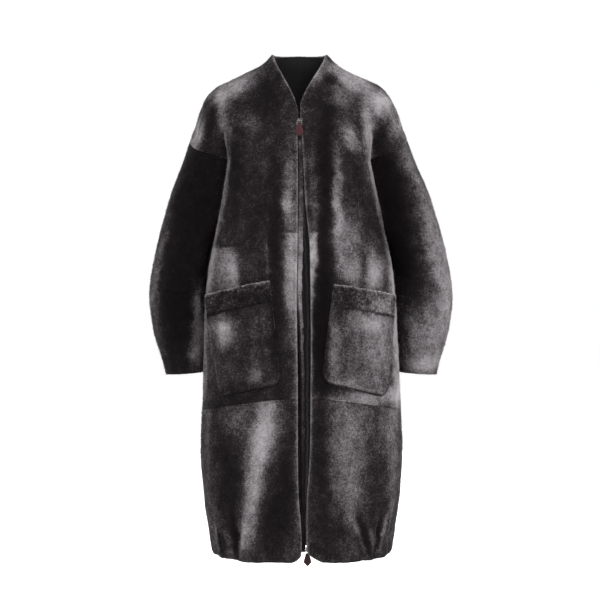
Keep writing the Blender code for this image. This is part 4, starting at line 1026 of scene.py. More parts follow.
toneBase = {"front": 0.355, "skirt": 0.375, "sleeve": 0.37, "pocket": 0.40, "back": 0.37}
frontTonesAndPaintedLight = {
    "shoulder streak": tone(-0.148, -0.03, 0.0389, 0.019, -28, 0.4),
    "shoulder top pale": tone(-0.179, -0.061, 0.0173, 0.017, -20, 0.18),
    "shoulder top edge": tone(-0.133, 0.0, 0.0476, 0.011, -26, 0.16),
    "collar dark": tone(-0.064, -0.022, 0.0195, 0.022, 0, -0.1),
    "chest dark high": tone(-0.077, -0.078, 0.0281, 0.03, 0, -0.14),
    "chest blotch": tone(-0.116, -0.115, 0.0195, 0.017, 0, 0.14),
    "neck edge pale": tone(-0.04, 0.0, 0.0043, 0.017, -20, 0.16),
    "cap dark": tone(-0.204, -0.108, 0.0108, 0.028, 12, -0.26),
    "cap rim pale": tone(-0.228, -0.138, 0.0108, 0.032, 22, 0.42),
    "cap pale streak": tone(-0.174, -0.108, 0.0108, 0.028, -8, 0.26),
    "cap brown": tone(-0.196, -0.166, 0.0173, 0.019, 0, -0.08),
    "armhole edge dark": tone(-0.144, -0.199, 0.0151, 0.074, 2, -0.14),
    "breast dark": tone(-0.111, -0.32, 0.0432, 0.086, 0, -0.06),
    "side soft": tone(0.116, -0.337, 0.0151, 0.035, -6, 0.14),
    "front ridge": tone(-0.029, -0.259, 0.0119, 0.065, 0, 0.2),
    "front ridge high": tone(-0.029, -0.316, 0.013, 0.037, 0, 0.2),
    "front ridge low": tone(-0.023, -0.441, 0.0141, 0.095, 0, 0.42, -0.361),
    "front ridge end": tone(-0.014, -0.614, 0.0086, 0.074, 0, 0.04),
    "front edge rim": tone(-0.012, -0.722, 0.0054, 0.13, 0, 0.1),
    "trough": tone(-0.057, -0.301, 0.013, 0.104, 0, -0.14),
    "trough low": tone(-0.053, -0.506, 0.013, 0.13, 0, -0.12),
    "trough end": tone(-0.036, -0.657, 0.013, 0.065, 0, -0.06),
    "crease rim": tone(-0.073, -0.398, 0.0035, 0.056, 0, 0.16),
    "side pelt pale": tone(-0.166, -0.428, 0.0259, 0.056, 0, 0.28, -0.392),
    "side pelt bright": tone(-0.148, -0.45, 0.0097, 0.039, -10, 0.18, -0.398),
    "pelt dark line": tone(-0.127, -0.441, 0.0065, 0.039, 0, -0.08),
    "side rim": tone(-0.196, -0.571, 0.0086, 0.108, 0, 0.1),
    "below pocket dark": tone(-0.142, -0.724, 0.0562, 0.013, -8, -0.1),
    "neck wedge pale": tone(0.038, -0.013, 0.0108, 0.017, 14, 0.26),
    "shoulder band": tone(0.109, -0.015, 0.0562, 0.017, 31, 0.38),
    "shoulder band end": tone(0.174, -0.069, 0.0195, 0.022, 30, 0.34),
    "shoulder crest": tone(0.122, 0.0, 0.0562, 0.013, 30, 0.16),
    "cap pale": tone(0.193, -0.099, 0.0195, 0.039, -18, 0.3),
    "cap inner dark": tone(0.183, -0.112, 0.0108, 0.026, 10, -0.22),
    "cap foot dark": tone(0.17, -0.177, 0.0195, 0.026, 0, -0.18),
    "cap outer pale": tone(0.217, -0.147, 0.0086, 0.026, -18, 0.04),
    "shoulder spot dark": tone(0.061, -0.017, 0.0108, 0.011, 50, -0.2),
    "chest dark": tone(0.049, -0.099, 0.0259, 0.061, 0, -0.12),
    "chest mottle": tone(0.083, -0.056, 0.0259, 0.019, 25, 0.22),
    "chest ring dark": tone(0.126, -0.106, 0.0195, 0.026, 0, 0.02),
    "chest streak": tone(0.103, -0.147, 0.0141, 0.028, -24, 0.38),
    "side chest streak": tone(0.148, -0.151, 0.0108, 0.065, -4, 0.44),
    "side edge rim": tone(0.163, -0.259, 0.0052, 0.074, -6, 0.14),
    "lower chest dark": tone(0.059, -0.221, 0.0216, 0.056, 0, -0.14),
    "side dark": tone(0.129, -0.259, 0.0259, 0.074, -8, -0.06),
    "side dark low": tone(0.172, -0.35, 0.013, 0.048, -10, -0.14),
    "ridge": tone(0.077, -0.264, 0.0097, 0.078, -2, 0.4),
    "ridge spread": tone(0.098, -0.407, 0.0238, 0.065, -14, 0.26),
    "ridge foot": tone(0.109, -0.454, 0.0259, 0.026, 0, 0.12),
    "above pocket pale": tone(0.159, -0.437, 0.0195, 0.043, 0, 0.3),
    "above pocket bright": tone(0.163, -0.463, 0.0108, 0.017, 0, 0.22),
    "above pocket dark": tone(0.133, -0.445, 0.0054, 0.028, 0, -0.16),
    "front trough": tone(0.051, -0.376, 0.0141, 0.173, 0, -0.22),
    "front trough low": tone(0.042, -0.618, 0.0173, 0.13, 0, -0.32),
    "edge band": tone(0.029, -0.281, 0.0076, 0.086, 0, 0.14),
    "edge band bright": tone(0.028, -0.402, 0.0069, 0.061, 0, 0.46, -0.359),
    "edge line": tone(0.023, -0.549, 0.0035, 0.13, 0, 0.2),
    "pocket outer pale": tone(0.206, -0.532, 0.0108, 0.13, -2, 0.42),
    "body edge left": tone(-0.202, -0.484, 0.0065, 0.13, 4, 0.08),
    "body edge left high": tone(-0.179, -0.322, 0.0056, 0.095, 9, 0.1),
    "body edge left top": tone(-0.159, -0.177, 0.0048, 0.052, 6, 0.14),
    "body edge right": tone(0.187, -0.359, 0.0056, 0.086, -12, 0.08),
    "above seam pale": tone(0.139, -0.72, 0.0822, 0.017, -6, 0.36),
    "above seam edge": tone(0.204, -0.709, 0.0173, 0.03, 0, 0.12),
}
skirtTonesAndPaintedLight = {
    "front edge rim": tone(-0.01, -0.829, 0.0056, 0.172, 0, 0.1),
    "trough skirt": tone(-0.027, -0.808, 0.0151, 0.129, 2, -0.06),
    "skirt bright": tone(-0.079, -0.773, 0.0237, 0.054, 8, 0.38),
    "skirt bright mid": tone(-0.096, -0.864, 0.0183, 0.069, 12, 0.28),
    "skirt bright low": tone(-0.111, -0.963, 0.0151, 0.069, 8, 0.28),
    "skirt left soft": tone(-0.148, -0.767, 0.0237, 0.032, 0, 0.16),
    "skirt left dark": tone(-0.159, -0.898, 0.0259, 0.095, -4, -0.16),
    "skirt left foot": tone(-0.189, -1.015, 0.0086, 0.034, -10, 0.16),
    "skirt valley": tone(-0.146, -1.023, 0.0056, 0.034, -8, -0.3),
    "skirt valley rim": tone(-0.128, -1.023, 0.0056, 0.034, 8, 0.2),
    "skirt valley two": tone(-0.178, -1.03, 0.0052, 0.026, -16, -0.24),
    "skirt valley lip": tone(-0.163, -1.036, 0.0065, 0.026, -10, 0.14),
    "skirt inner dark": tone(-0.053, -0.963, 0.0259, 0.086, 10, -0.2),
    "side rim left": tone(-0.206, -0.829, 0.0065, 0.172, 0, 0.1),
    "skirt trough": tone(0.04, -0.829, 0.0151, 0.129, 0, -0.16),
    "skirt mid": tone(0.1, -0.804, 0.0345, 0.099, 0, 0.22),
    "skirt mid low": tone(0.109, -0.946, 0.0237, 0.056, 0, 0.12),
    "skirt dark": tone(0.161, -0.911, 0.0172, 0.095, -4, -0.06),
    "skirt outer high": tone(0.182, -0.773, 0.0259, 0.043, 0, 0.14),
    "skirt outer pale": tone(0.201, -0.851, 0.0108, 0.129, 0, 0.16),
    "hem corner": tone(0.061, -1.006, 0.0302, 0.034, 0, -0.1),
    "hem tuck rim one": tone(0.126, -1.019, 0.0043, 0.034, -20, 0.2),
    "hem tuck dark one": tone(0.139, -1.019, 0.0056, 0.039, -16, -0.3),
    "hem tuck rim two": tone(0.178, -1.015, 0.0043, 0.039, 16, 0.26),
    "hem tuck dark two": tone(0.167, -1.028, 0.0047, 0.026, 10, -0.22),
    "hem tuck rim three": tone(0.154, -1.034, 0.0052, 0.022, 0, 0.14),
}
pocketTonesAndPaintedLight = {
    "left top pale": tone(-0.167, -0.573, 0.0194, 0.028, -20, 0.34),
    "left upper": tone(-0.171, -0.562, 0.0129, 0.013, -14, 0.12),
    "left middle": tone(-0.128, -0.64, 0.0302, 0.047, 0, -0.08),
    "left low spot": tone(-0.098, -0.665, 0.0097, 0.019, 0, 0.2),
    "left inner dark": tone(-0.046, -0.603, 0.0172, 0.086, 0, -0.2),
    "left bottom dark": tone(-0.133, -0.704, 0.0517, 0.011, -10, -0.16),
    "left band dark": tone(-0.133, -0.51, 0.0733, 0.022, -12, -0.16),
    "left band spot": tone(-0.163, -0.519, 0.0108, 0.011, 0, 0.1),
    "left band light": tone(-0.103, -0.506, 0.0129, 0.011, 0, 0.02),
    "right ridge": tone(0.068, -0.605, 0.0108, 0.073, -4, 0.18),
    "right half": tone(0.147, -0.614, 0.0431, 0.069, 0, 0.16),
    "right outer pale": tone(0.173, -0.605, 0.0194, 0.073, 0, 0.12),
    "right top": tone(0.143, -0.553, 0.0302, 0.017, 10, 0.24),
    "right low pale": tone(0.104, -0.691, 0.0431, 0.017, 0, 0.15),
    "right band pale": tone(0.178, -0.515, 0.0345, 0.019, 12, 0.16),
    "right band dark": tone(0.087, -0.506, 0.0259, 0.022, 12, -0.1),
    "right inner dark": tone(0.048, -0.571, 0.0086, 0.086, 0, -0.2),
}
# painted shade darkens the sleeves beside the body and painted highlights pale their outer rims, besides the pile's
# own patches
sleeveTonesAndPaintedLight = {
    "rim left": tone(-0.318, -0.421, 0.0089, 0.134, 12, 0.2),
    "rim left low": tone(-0.32, -0.573, 0.0112, 0.058, -6, 0.14),
    "black left": tone(-0.235, -0.294, 0.0446, 0.134, 10, -0.34),
    "black left low": tone(-0.271, -0.551, 0.0312, 0.098, 0, -0.36),
    "inner left pale": tone(-0.229, -0.604, 0.0178, 0.049, 0, 0.48),
    "inner left high": tone(-0.231, -0.515, 0.0112, 0.036, 0, 0.34),
    "black right": tone(0.2, -0.283, 0.0223, 0.134, -12, -0.44),
    "black right low": tone(0.224, -0.435, 0.0156, 0.049, 0, -0.16),
    "dark right low": tone(0.249, -0.488, 0.0156, 0.045, 0, -0.1),
    "middle right": tone(0.255, -0.314, 0.0134, 0.076, -14, -0.1),
    "outer right": tone(0.3, -0.394, 0.0223, 0.134, -14, 0.3),
    "outer rim right": tone(0.322, -0.475, 0.0134, 0.098, 0, 0.1),
    "top right": tone(0.235, -0.203, 0.0134, 0.045, -20, 0.16),
    "upper outer": tone(0.26, -0.274, 0.0112, 0.04, -20, 0.02),
    "lower right": tone(0.287, -0.586, 0.0357, 0.067, 0, 0.3),
    "lower right dark": tone(0.242, -0.555, 0.0112, 0.058, 0, 0.08),
    "cuff right": tone(0.26, -0.649, 0.0402, 0.018, 0, 0.26),
}
backTones = {
    "yoke left pale": tone(0.110, -0.030, 0.060, 0.020, 40, 0.18),
    "yoke right pale": tone(-0.120, -0.034, 0.056, 0.020, -42, 0.20),
    "shoulder blade left": tone(0.080, -0.190, 0.040, 0.070, -10, -0.16),
    "shoulder blade right": tone(-0.090, -0.210, 0.036, 0.080, 12, -0.18),
    "spine pale": tone(-0.004, -0.240, 0.022, 0.120, 0, 0.16),
    "waist left pale": tone(0.105, -0.420, 0.030, 0.060, 8, 0.22),
    "waist right dark": tone(-0.060, -0.460, 0.040, 0.070, -6, -0.18),
    "waist right pale": tone(-0.140, -0.500, 0.020, 0.080, 0, 0.18),
    "middle dark": tone(0.020, -0.600, 0.040, 0.080, 0, -0.14),
    "seat left": tone(0.150, -0.620, 0.030, 0.070, 0, -0.16),
    "skirt left pale": tone(0.070, -0.830, 0.026, 0.120, 8, 0.24),
    "skirt middle dark": tone(0.000, -0.880, 0.030, 0.130, 0, -0.20),
    "skirt right pale": tone(-0.090, -0.850, 0.030, 0.110, -8, 0.20),
    "skirt right dark": tone(-0.150, -0.900, 0.024, 0.110, 0, -0.18),
    "skirt left dark": tone(0.135, -0.920, 0.022, 0.100, 0, -0.20),
}


def paintTones(points, patches, base):
    warpX = noiseAt(points, 0.045, 31.0) * 0.005 + noiseAt(points, 0.014, 37.0) * 0.004
    warpZ = noiseAt(points, 0.045, 41.0) * 0.010 + noiseAt(points, 0.014, 43.0) * 0.007
    x, z = points[..., 0] + warpX, points[..., 2] + warpZ
    total = np.full(points.shape[:-1], base)
    for patch in patches.values():
        turn = math.radians(patch.lean)
        dx, dz = x - patch.x, z - patch.z
        side = dx * math.cos(turn) - dz * math.sin(turn)
        along = dx * math.sin(turn) + dz * math.cos(turn)
        spread = (side / patch.wide) ** 2 + (along / patch.high) ** 2
        ends = 1.0 - smoothStep(-0.0015, 0.0015, points[..., 2] - patch.topZ)
        total += patch.amount * np.exp(-0.5 * spread ** 1.25) * ends
    return total


def cellsIn(rows, cols, rowFrom, rowTo, colFrom, colTo):
    # the cells between these places of the cut, as a mask over the grid
    inside = np.zeros((len(rows) - 1, len(cols) - 1), bool)
    inside[indexOf(rows, rowFrom) : indexOf(rows, rowTo), indexOf(cols, colFrom) : indexOf(cols, colTo)] = True
    return inside


# painted highlights along the rims, and where the tones of one part of the coat pass into the next
rims = {
    "edge": 0.26,
    "edgeWidth": 0.0034,
    "side": 0.26,
    "sideTurn": (0.80, 0.97),
    "sideZ": (-0.78, -0.70),
    "sideY": (0.06, 0.0),
    "overShoulder": 0.10,
    "shoulderZ": (-0.26, -0.06),
    "behindY": (-0.045, 0.030),
    "sleeveBehindY": (0.010, 0.060),
    "sleeveBack": -0.03,
    "sleeveMottle": 0.22,
    "sleeveMottleSize": 0.09,
}
# how the wall thins towards the armhole's corners and how the hide is kept behind the pile
armholeMake = {
    "shares": (0.15, 0.30, 0.55),
    "reaches": ((0.0, 0.012), (0.006, 0.034)),
    "closeReach": (0.012, 0.030),
    "passes": 3,
    "mostPush": 0.004,
    "bodyBelow": -0.50,
}
sleeveDepths = {name: np.zeros(len(sleeves[name][2])) for name in sleeves}


def keepBehind(outer, ways, inner, where, least):
    # the hide stays behind the pile beside it, also where the wall turns tightly
    rows, cols = np.arange(outer.shape[0]), np.arange(outer.shape[1])
    steps = (0, 0), (1, 0), (-1, 0), (0, 1), (0, -1), (0, 2), (0, -2), (0, 3), (0, -3)
    for down, over in armholeMake["passes"] * steps:
        beside = np.ix_(np.clip(rows + down, 0, rows[-1]), np.clip(cols + over, 0, cols[-1]))
        lie = np.einsum("rcx,rcx->rc", outer[beside] - inner, ways[beside])
        push = np.clip(least - lie, 0.0, armholeMake["mostPush"]) * where
        inner = inner - ways[beside] * push[:, :, None]
    return inner


def frontColumns():
    # the columns of each front, and how far each of their points lies from the front edge
    count = int((halfLines <= cut["crease"]).sum())
    for order in (slice(None), slice(None, None, -1)):
        columns = np.arange(len(colLines))[order][:count]
        yield columns, np.linalg.norm(bodyPoints[:, columns[:1]] - bodyPoints[:, columns], axis=2)


def makeBody():
    drop, under, skirt, hem = (cut[key] for key in ("drop", "underarm", "skirt", "hem"))
    front, top, side, back, half = (cut[key] for key in ("crease", "shoulder", "side", "backCrease", "half"))

    def cells(*place):
        return cellsIn(rowLines, colLines, *place)

    frontCells = cells(0, drop, 0, top) | cells(drop, under, 0, front) | cells(under, skirt, 0, side)
    skirtCells = cells(skirt, hem, 0, side)
    backCells = cells(0, drop, top, half) | cells(drop, under, back, half) | cells(under, skirt, side, half)
    backSkirtCells = cells(skirt, hem, side, half)

    thick = np.full(bodyPoints.shape[:2], cloth["wall"])
    for columns, reach in frontColumns():
        full = smoothStep(cloth["frontFlat"], cloth["frontTaper"], reach)
        thick[:, columns] = cloth["frontWall"] + (cloth["wall"] - cloth["frontWall"]) * full
    outerWays, innerWays = bodyNormals.copy(), underNormals.copy()
    least, soon, later = armholeMake["shares"]
    nearReach, farReach = armholeMake["reaches"]
    for name, (_, normals, loop, marks, _, beneath) in sleeves.items():
        # at the armhole both pieces lean the same way, so that their edges meet
        for i, place in enumerate(loop):
            way = underNormals[place] + beneath[0, i]
            way /= np.linalg.norm(way)
            deep = cloth["wall"] / max(form["leastMitre"], float(way @ beneath[0, i]))
            outerWays[place] = innerWays[place] = normals[0, i] = beneath[0, i] = way
            thick[place] = deep
            sleeveDepths[name][i] = deep
        for mark in (0, *form["armholeCorners"]):
            corner = bodyPoints[loop[int(np.argmin(np.abs(marks - mark)))]]
            reach = np.linalg.norm(bodyPoints - corner, axis=2)
            thin = least + soon * smoothStep(*nearReach, reach) + later * smoothStep(*farReach, reach)
            thick = thick * thin
            sleeveDepths[name] = sleeveDepths[name] * thin[tuple(zip(*loop))]
    dropped = dropAlong(bodyPoints, rowLines, colLines, bodySeams)
    outer = bodyPoints - outerWays * dropped[:, :, None]
    inner = bodyUnder - innerWays * thick[:, :, None]
    inner = keepBehind(outer, outerWays, inner, bodyPoints[:, :, 2] < armholeMake["bodyBelow"], form["cornerWall"])
    frontTone = paintTones(bodyPoints, frontTonesAndPaintedLight, toneBase["front"])
    skirtTone = paintTones(bodyPoints, skirtTonesAndPaintedLight, toneBase["skirt"])
    # the tones of the front go over the shoulders and fade out round the sides
    overShoulder = rims["overShoulder"] * smoothStep(*rims["shoulderZ"], bodyPoints[:, :, 2])
    behind = smoothStep(*rims["behindY"], bodyPoints[:, :, 1] - overShoulder)
    backTone = paintTones(bodyPoints, backTones, toneBase["back"])
    frontTone += (backTone - frontTone) * behind
    skirtTone += (backTone - skirtTone) * behind
    # painted highlights along the free edges and where the sides turn away under the arms, standing in for the sheen
    # there
    edgeReach = np.linalg.norm(bodyPoints - bodyPoints[:1], axis=2)
    for columns, reach in frontColumns():
        edgeReach[:, columns] = np.minimum(edgeReach[:, columns], reach)
    paler = rims["edge"] * np.exp(-((edgeReach / rims["edgeWidth"]) ** 2))
    turned = smoothStep(*rims["sideTurn"], np.abs(bodyNormals[:, :, 0]))
    turned = turned * smoothStep(*rims["sideZ"], bodyPoints[:, :, 2])
    paler += rims["side"] * turned * smoothStep(*rims["sideY"], bodyPoints[:, :, 1])
    frontTone += paler
    skirtTone += paler
    hideAndPile = [shearedPile, hide]
    pieces = {}
    for name, cellMask, tones in (
        ("frontLeft", frontCells, frontTone),
        ("frontRight", frontCells[:, ::-1], frontTone),
        ("skirtLeft", skirtCells, skirtTone),
        ("skirtRight", skirtCells[:, ::-1], skirtTone),
        ("backPanel", backCells | backCells[:, ::-1], frontTone),
        ("backSkirt", backSkirtCells | backSkirtCells[:, ::-1], skirtTone),
    ):
        pieces[name] = makeWall(name, outer, inner, cellMask, hideAndPile, tones)
    return pieces


def holdAll(stage, pieces, table):
    # half the area of a piece's faces is printed beside their number
    for name, piece in pieces.items():
        node, slotName, flat, area = table[name]
        hold(piece, "coat", [node])
        faces = piece.data.polygons
        print(stage, name, len(faces), round(sum(face.area for face in faces) / 2, 4))


bodyCut = {
    "frontLeft": ("front_left", "dark_pile", (0.38, 0.83), 0.197),
    "frontRight": ("front_right", "dark_pile", (0.40, 0.83), 0.203),
    "skirtLeft": ("front_skirt_left", "grey_pile", (0.33, 0.38), 0.110),
    "skirtRight": ("front_skirt_right", "grey_pile", (0.34, 0.38), 0.114),
    "backPanel": ("back", "dark_pile", (0.73, 0.87), 0.430),
    "backSkirt": ("back_skirt", "grey_pile", (0.63, 0.38), 0.211),
}
holdAll("body", makeBody(), bodyCut)

sleeveCut = {
    "sleeveLeft": ("sleeve_left", "dark_pile", (0.46, 0.37), 0.125),
    "sleeveRight": ("sleeve_right", "dark_pile", (0.46, 0.37), 0.125),
    "sleeveLowerLeft": ("sleeve_lower_left", "grey_pile", (0.45, 0.20), 0.077),
    "sleeveLowerRight": ("sleeve_lower_right", "grey_pile", (0.45, 0.20), 0.077),
}


def makeSleeve(name, label):
    grid, normals, loop, marks, under, beneath = sleeves[name]
    drop = dropAlong(grid, sleeveLines, marks, sleeveSeams)
    depth = np.full(grid.shape[:2], cloth["wall"])
    depth[0] = sleeveDepths[name]
    outer = grid - normals * drop[:, :, None]
    inner = under - beneath * depth[:, :, None]
    # the hide keeps close to the pile where the armhole turns a corner
    corners = grid[0, [int(np.argmin(np.abs(marks - mark))) for mark in (0, *form["armholeCorners"])]]
    reach = np.linalg.norm(grid[:, :, None] - corners, axis=3).min(axis=2)
    near = 1.0 - smoothStep(*armholeMake["closeReach"], reach)
    below = np.arange(len(grid))[:, None] > 0
    inner = keepBehind(outer, normals, inner, below * (1.0 - near), form["cornerWall"])
    close = outer - normals * form["cornerSkin"]
    inner += (close - inner) * (near * below)[:, :, None]
    tones = paintTones(grid, sleeveTonesAndPaintedLight, toneBase["sleeve"])
    behind = smoothStep(*rims["sleeveBehindY"], grid[:, :, 1])
    mottle = rims["sleeveMottle"] * noiseAt(grid, rims["sleeveMottleSize"], 61.0)
    tones += (toneBase["sleeve"] + rims["sleeveBack"] + mottle - tones) * behind
    upper = cellsIn(sleeveLines, marks, 0, cut["elbow"], 0, cut["loop"])
    lower = cellsIn(sleeveLines, marks, cut["elbow"], cut["cuff"], 0, cut["loop"])
    parts = {f"sleeve{label}": upper, f"sleeveLower{label}": lower}
    return {part: makeWall(part, outer, inner, cells, [shearedPile, hide], tones) for part, cells in parts.items()}


for sleeveName, label in (("left", "Left"), ("right", "Right")):
    holdAll("sleeve", makeSleeve(sleeveName, label), sleeveCut)


class frontSkin:
    # one front as a surface, read by distance round the body and height
    def __init__(self, side):
        flip = slice(None) if side > 0 else slice(None, None, -1)
        last = indexOf(halfLines, cut["side"]) + 1
        self.side = side
        self.points = bodyPoints[:, flip][:, :last]
        self.normals = bodyNormals[:, flip][:, :last]
        self.around = (bodyAround * side)[:, flip][:, :last]
        self.rows = np.arange(indexOf(rowLines, 30) + 1)

    def at(self, key, z, out=0.0, byX=False):
        keys = self.points[:, :, 0] * self.side if byX else self.around
        row = 0.5 * len(self.rows)
        for _ in range(3):
            marks = keys[int(row)]
            col = min(max(int(np.searchsorted(marks, key)) - 1, 0), keys.shape[1] - 2)
            share = (key - marks[col]) / (marks[col + 1] - marks[col])
            levels = self.points[self.rows, col, 2] * (1 - share) + self.points[self.rows, col + 1, 2] * share
            row = float(np.interp(-z, -levels, self.rows))
        low = min(int(row), len(self.rows) - 2)
        found = np.zeros(3)
        for line, part in ((low, 1 - (row - low)), (low + 1, row - low)):
            marks = keys[line]
            col = min(max(int(np.searchsorted(marks, key)) - 1, 0), keys.shape[1] - 2)
            share = (key - marks[col]) / (marks[col + 1] - marks[col])
            for corner, weight in ((col, 1 - share), (col + 1, share)):
                found += part * weight * (self.points[line, corner] + self.normals[line, corner] * out)
        return found


frontSkins = {"left": frontSkin(1), "right": frontSkin(-1)}
pocketRow = namedtuple("pocketRow", "topIn topInZ topOut topOutZ lowIn lowInZ lowOut lowOutZ")
pockets = {
    "right": pocketRow(0.066, -0.464, 0.225, -0.499, 0.045, -0.690, 0.184, -0.720),
    "left": pocketRow(0.072, -0.472, 0.222, -0.499, 0.044, -0.683, 0.194, -0.721),
}
pocketMake = {
    "wall": 0.0050,
    "bulge": 0.0115,
    "mouth": 0.0140,
    "sink": 0.0012,
    "band": 0.045,
    "cornerRound": 0.028,
    "bulgeFrom": 0.5,
    "edgeRound": 0.0042,
    "mouthRound": 0.0024,
    "bandSeam": 0.0016,
    "bandProud": 0.0012,
    "rimShade": 0.34,
    "rimPale": 0.07,
    "mouthHighlight": 0.36,
    "bandDark": 0.26,
    "cols": 64,
    "bandRows": 16,
    "bagRows": 62,
    "closeRows": (0.004, 0.011),        # further lines close to the mouth and the band's seam
    "lastRows": (0.985, 0.994),
    "closeCols": (0.005, 0.012, 0.020, 0.980, 0.988, 0.995),
    "edgeFade": 0.012,
    "rimWidth": 0.0035,
    "paleFrom": 0.008,
    "paleWidth": 0.0040,
    "lineWidth": 0.0030,
    "rougher": 1.2,
    "curl": (0.0013, 0.0062),
    "fineCurl": (0.0008, 0.0034),
    "curlFade": 0.006,
}
# creases on a pocket, in shares of its width and height
pocketCreases = {
    "right": {
        "drag from the corner": crease(0.96, 0.20, 0.70, 0.34, 0.045, -0.0022),
        "inner slant": crease(0.10, 0.30, 0.20, 0.86, 0.060, -0.0020),
        "middle dent": crease(0.50, 0.32, 0.44, 0.80, 0.110, -0.0026),
        "low ridge": crease(0.30, 0.84, 0.62, 0.90, 0.050, 0.0014),
    },
    "left": {
        "drag from the mouth": crease(0.10, 0.16, 0.40, 0.27, 0.035, -0.0026),
        "drag lip": crease(0.08, 0.22, 0.36, 0.34, 0.040, 0.0018),
        "inner slant": crease(0.16, 0.36, 0.12, 0.82, 0.060, 0.0020),
        "middle dent": crease(0.55, 0.36, 0.50, 0.80, 0.110, -0.0026),
    },
}


def makePocket(name):
    corners, skin = pockets[name], frontSkins[name]
    height = corners.topInZ - corners.lowInZ
    band = pocketMake["band"] / height
    near, far = pocketMake["closeRows"]
    downs = np.unique(np.round(np.concatenate([
        np.linspace(0, band, pocketMake["bandRows"] + 1),
        np.linspace(band, 1, pocketMake["bagRows"] + 1),
        [near, far, band - far, band - near, band + near, band + far, *pocketMake["lastRows"]],
    ]), 6))
    acrosses = np.unique(np.round(np.concatenate([
        np.linspace(0, 1, pocketMake["cols"] + 1), pocketMake["closeCols"]]), 6))
    bandAt = int(np.argmin(np.abs(downs - band)))
    outer, inner = np.zeros((len(downs), len(acrosses), 3)), np.zeros((len(downs), len(acrosses), 3))
    u, v = np.meshgrid(acrosses, downs)
    creased = strokes(pocketCreases[name], u, v)
    for i, down in enumerate(downs):
        left = (1 - down) * height
        rounding = pocketMake["cornerRound"]
        inset = 0.0 if left >= rounding else rounding - math.sqrt(rounding ** 2 - (rounding - left) ** 2)
        width = corners.topOut - corners.topIn
        most = pocketMake["mouth"] + (pocketMake["bulge"] - pocketMake["mouth"]) * float(
            smoothStep(0.0, pocketMake["bulgeFrom"], down))
        bottom = 1.0 - down ** 5
        for j, across in enumerate(acrosses):
            share = inset / width + across * (1 - 2 * inset / width)
            top = corners.topIn + width * share
            low = corners.lowIn + (corners.lowOut - corners.lowIn) * share
            topZ = corners.topInZ + (corners.topOutZ - corners.topInZ) * share
            lowZ = corners.lowInZ + (corners.lowOutZ - corners.lowInZ) * share
            around, z = top + (low - top) * down, topZ + (lowZ - topZ) * down
            off = pocketMake["sink"] + most * (1.0 - abs(2 * across - 1) ** 4) * bottom
            toEdge = min(across, 1 - across) * width
            fade = float(smoothStep(0.0, pocketMake["edgeFade"], min(toEdge, left)))
            proud = pocketMake["bandProud"] * fade if down < band else 0.0
            drop = float(roundedDrop(np.array(min(toEdge, left)), pocketMake["edgeRound"]))
            drop = max(drop, float(roundedDrop(np.array(down * height), pocketMake["mouthRound"])))
            drop = max(drop, float(roundedDrop(np.array(abs(down - band) * height), pocketMake["bandSeam"])))
            outer[i, j] = skin.at(around, z, off + pocketMake["wall"] - drop + proud + creased[i, j] * fade)
            inner[i, j] = skin.at(around, z, off)
    normals = gridNormals(outer) * skin.side
    rough = surface["dent"] * pocketMake["rougher"] * noiseAt(outer, surface["dentSize"], 71.0)
    rough += surface["tuft"] * pocketMake["rougher"] * noiseAt(outer, surface["tuftSize"], 73.0)
    (curl, curlSize), (fineCurl, fineSize) = pocketMake["curl"], pocketMake["fineCurl"]
    curly = curl * noiseAt(outer, curlSize, 79.0) + fineCurl * noiseAt(outer, fineSize, 83.0)
    inBand = slice(bandAt + 1)
    rough[inBand] += curly[inBand] * smoothStep(0.0, pocketMake["curlFade"], (band - v[inBand]) * height)
    outer += normals * rough[:, :, None]
    tones = paintTones(outer, pocketTonesAndPaintedLight, toneBase["pocket"])
    # painted shade along the outer side and the bottom, the sides whose sewn edge shows, with a paler band just
    # inside them
    fromEdge = np.minimum((1 - u) * (corners.topOut - corners.topIn), (1 - v) * height)
    fromRim = (fromEdge - pocketMake["paleFrom"]) / pocketMake["paleWidth"]
    line = pocketMake["lineWidth"]
    tones -= pocketMake["rimShade"] * np.exp(-((fromEdge / pocketMake["rimWidth"]) ** 2))
    tones += pocketMake["rimPale"] * np.exp(-(fromRim ** 2)) * smoothStep(band, band + 0.1, v)
    # a painted highlight along the mouth's lip, and a darker line along the band's seam
    tones += pocketMake["mouthHighlight"] * np.exp(-((v * height / line) ** 2))
    tones -= pocketMake["bandDark"] * np.exp(-(((v - band) * height / line) ** 2)) * smoothStep(0.0, 0.8, u)
    bandCells = np.zeros((len(downs) - 1, len(acrosses) - 1), bool)
    bandCells[:bandAt] = True
    label = name.capitalize()
    parts = {f"pocketBand{label}": (bandCells, curledPile), f"pocket{label}": (~bandCells, shearedPile)}
    return {part: makeWall(part, outer, inner, cells, [pileSide, hide], tones)
            for part, (cells, pileSide) in parts.items()}


pocketCut = {
    "pocketBandLeft": ("pocket_band_left", "band_pile", (0.165, 0.052), 0.0083),
    "pocketBandRight": ("pocket_band_right", "band_pile", (0.165, 0.052), 0.0083),
    "pocketLeft": ("pocket_left", "grey_pile", (0.172, 0.190), 0.0288),
    "pocketRight": ("pocket_right", "grey_pile", (0.172, 0.200), 0.0292),
}
for pocketName in pockets:
    holdAll("pocket", makePocket(pocketName), pocketCut)

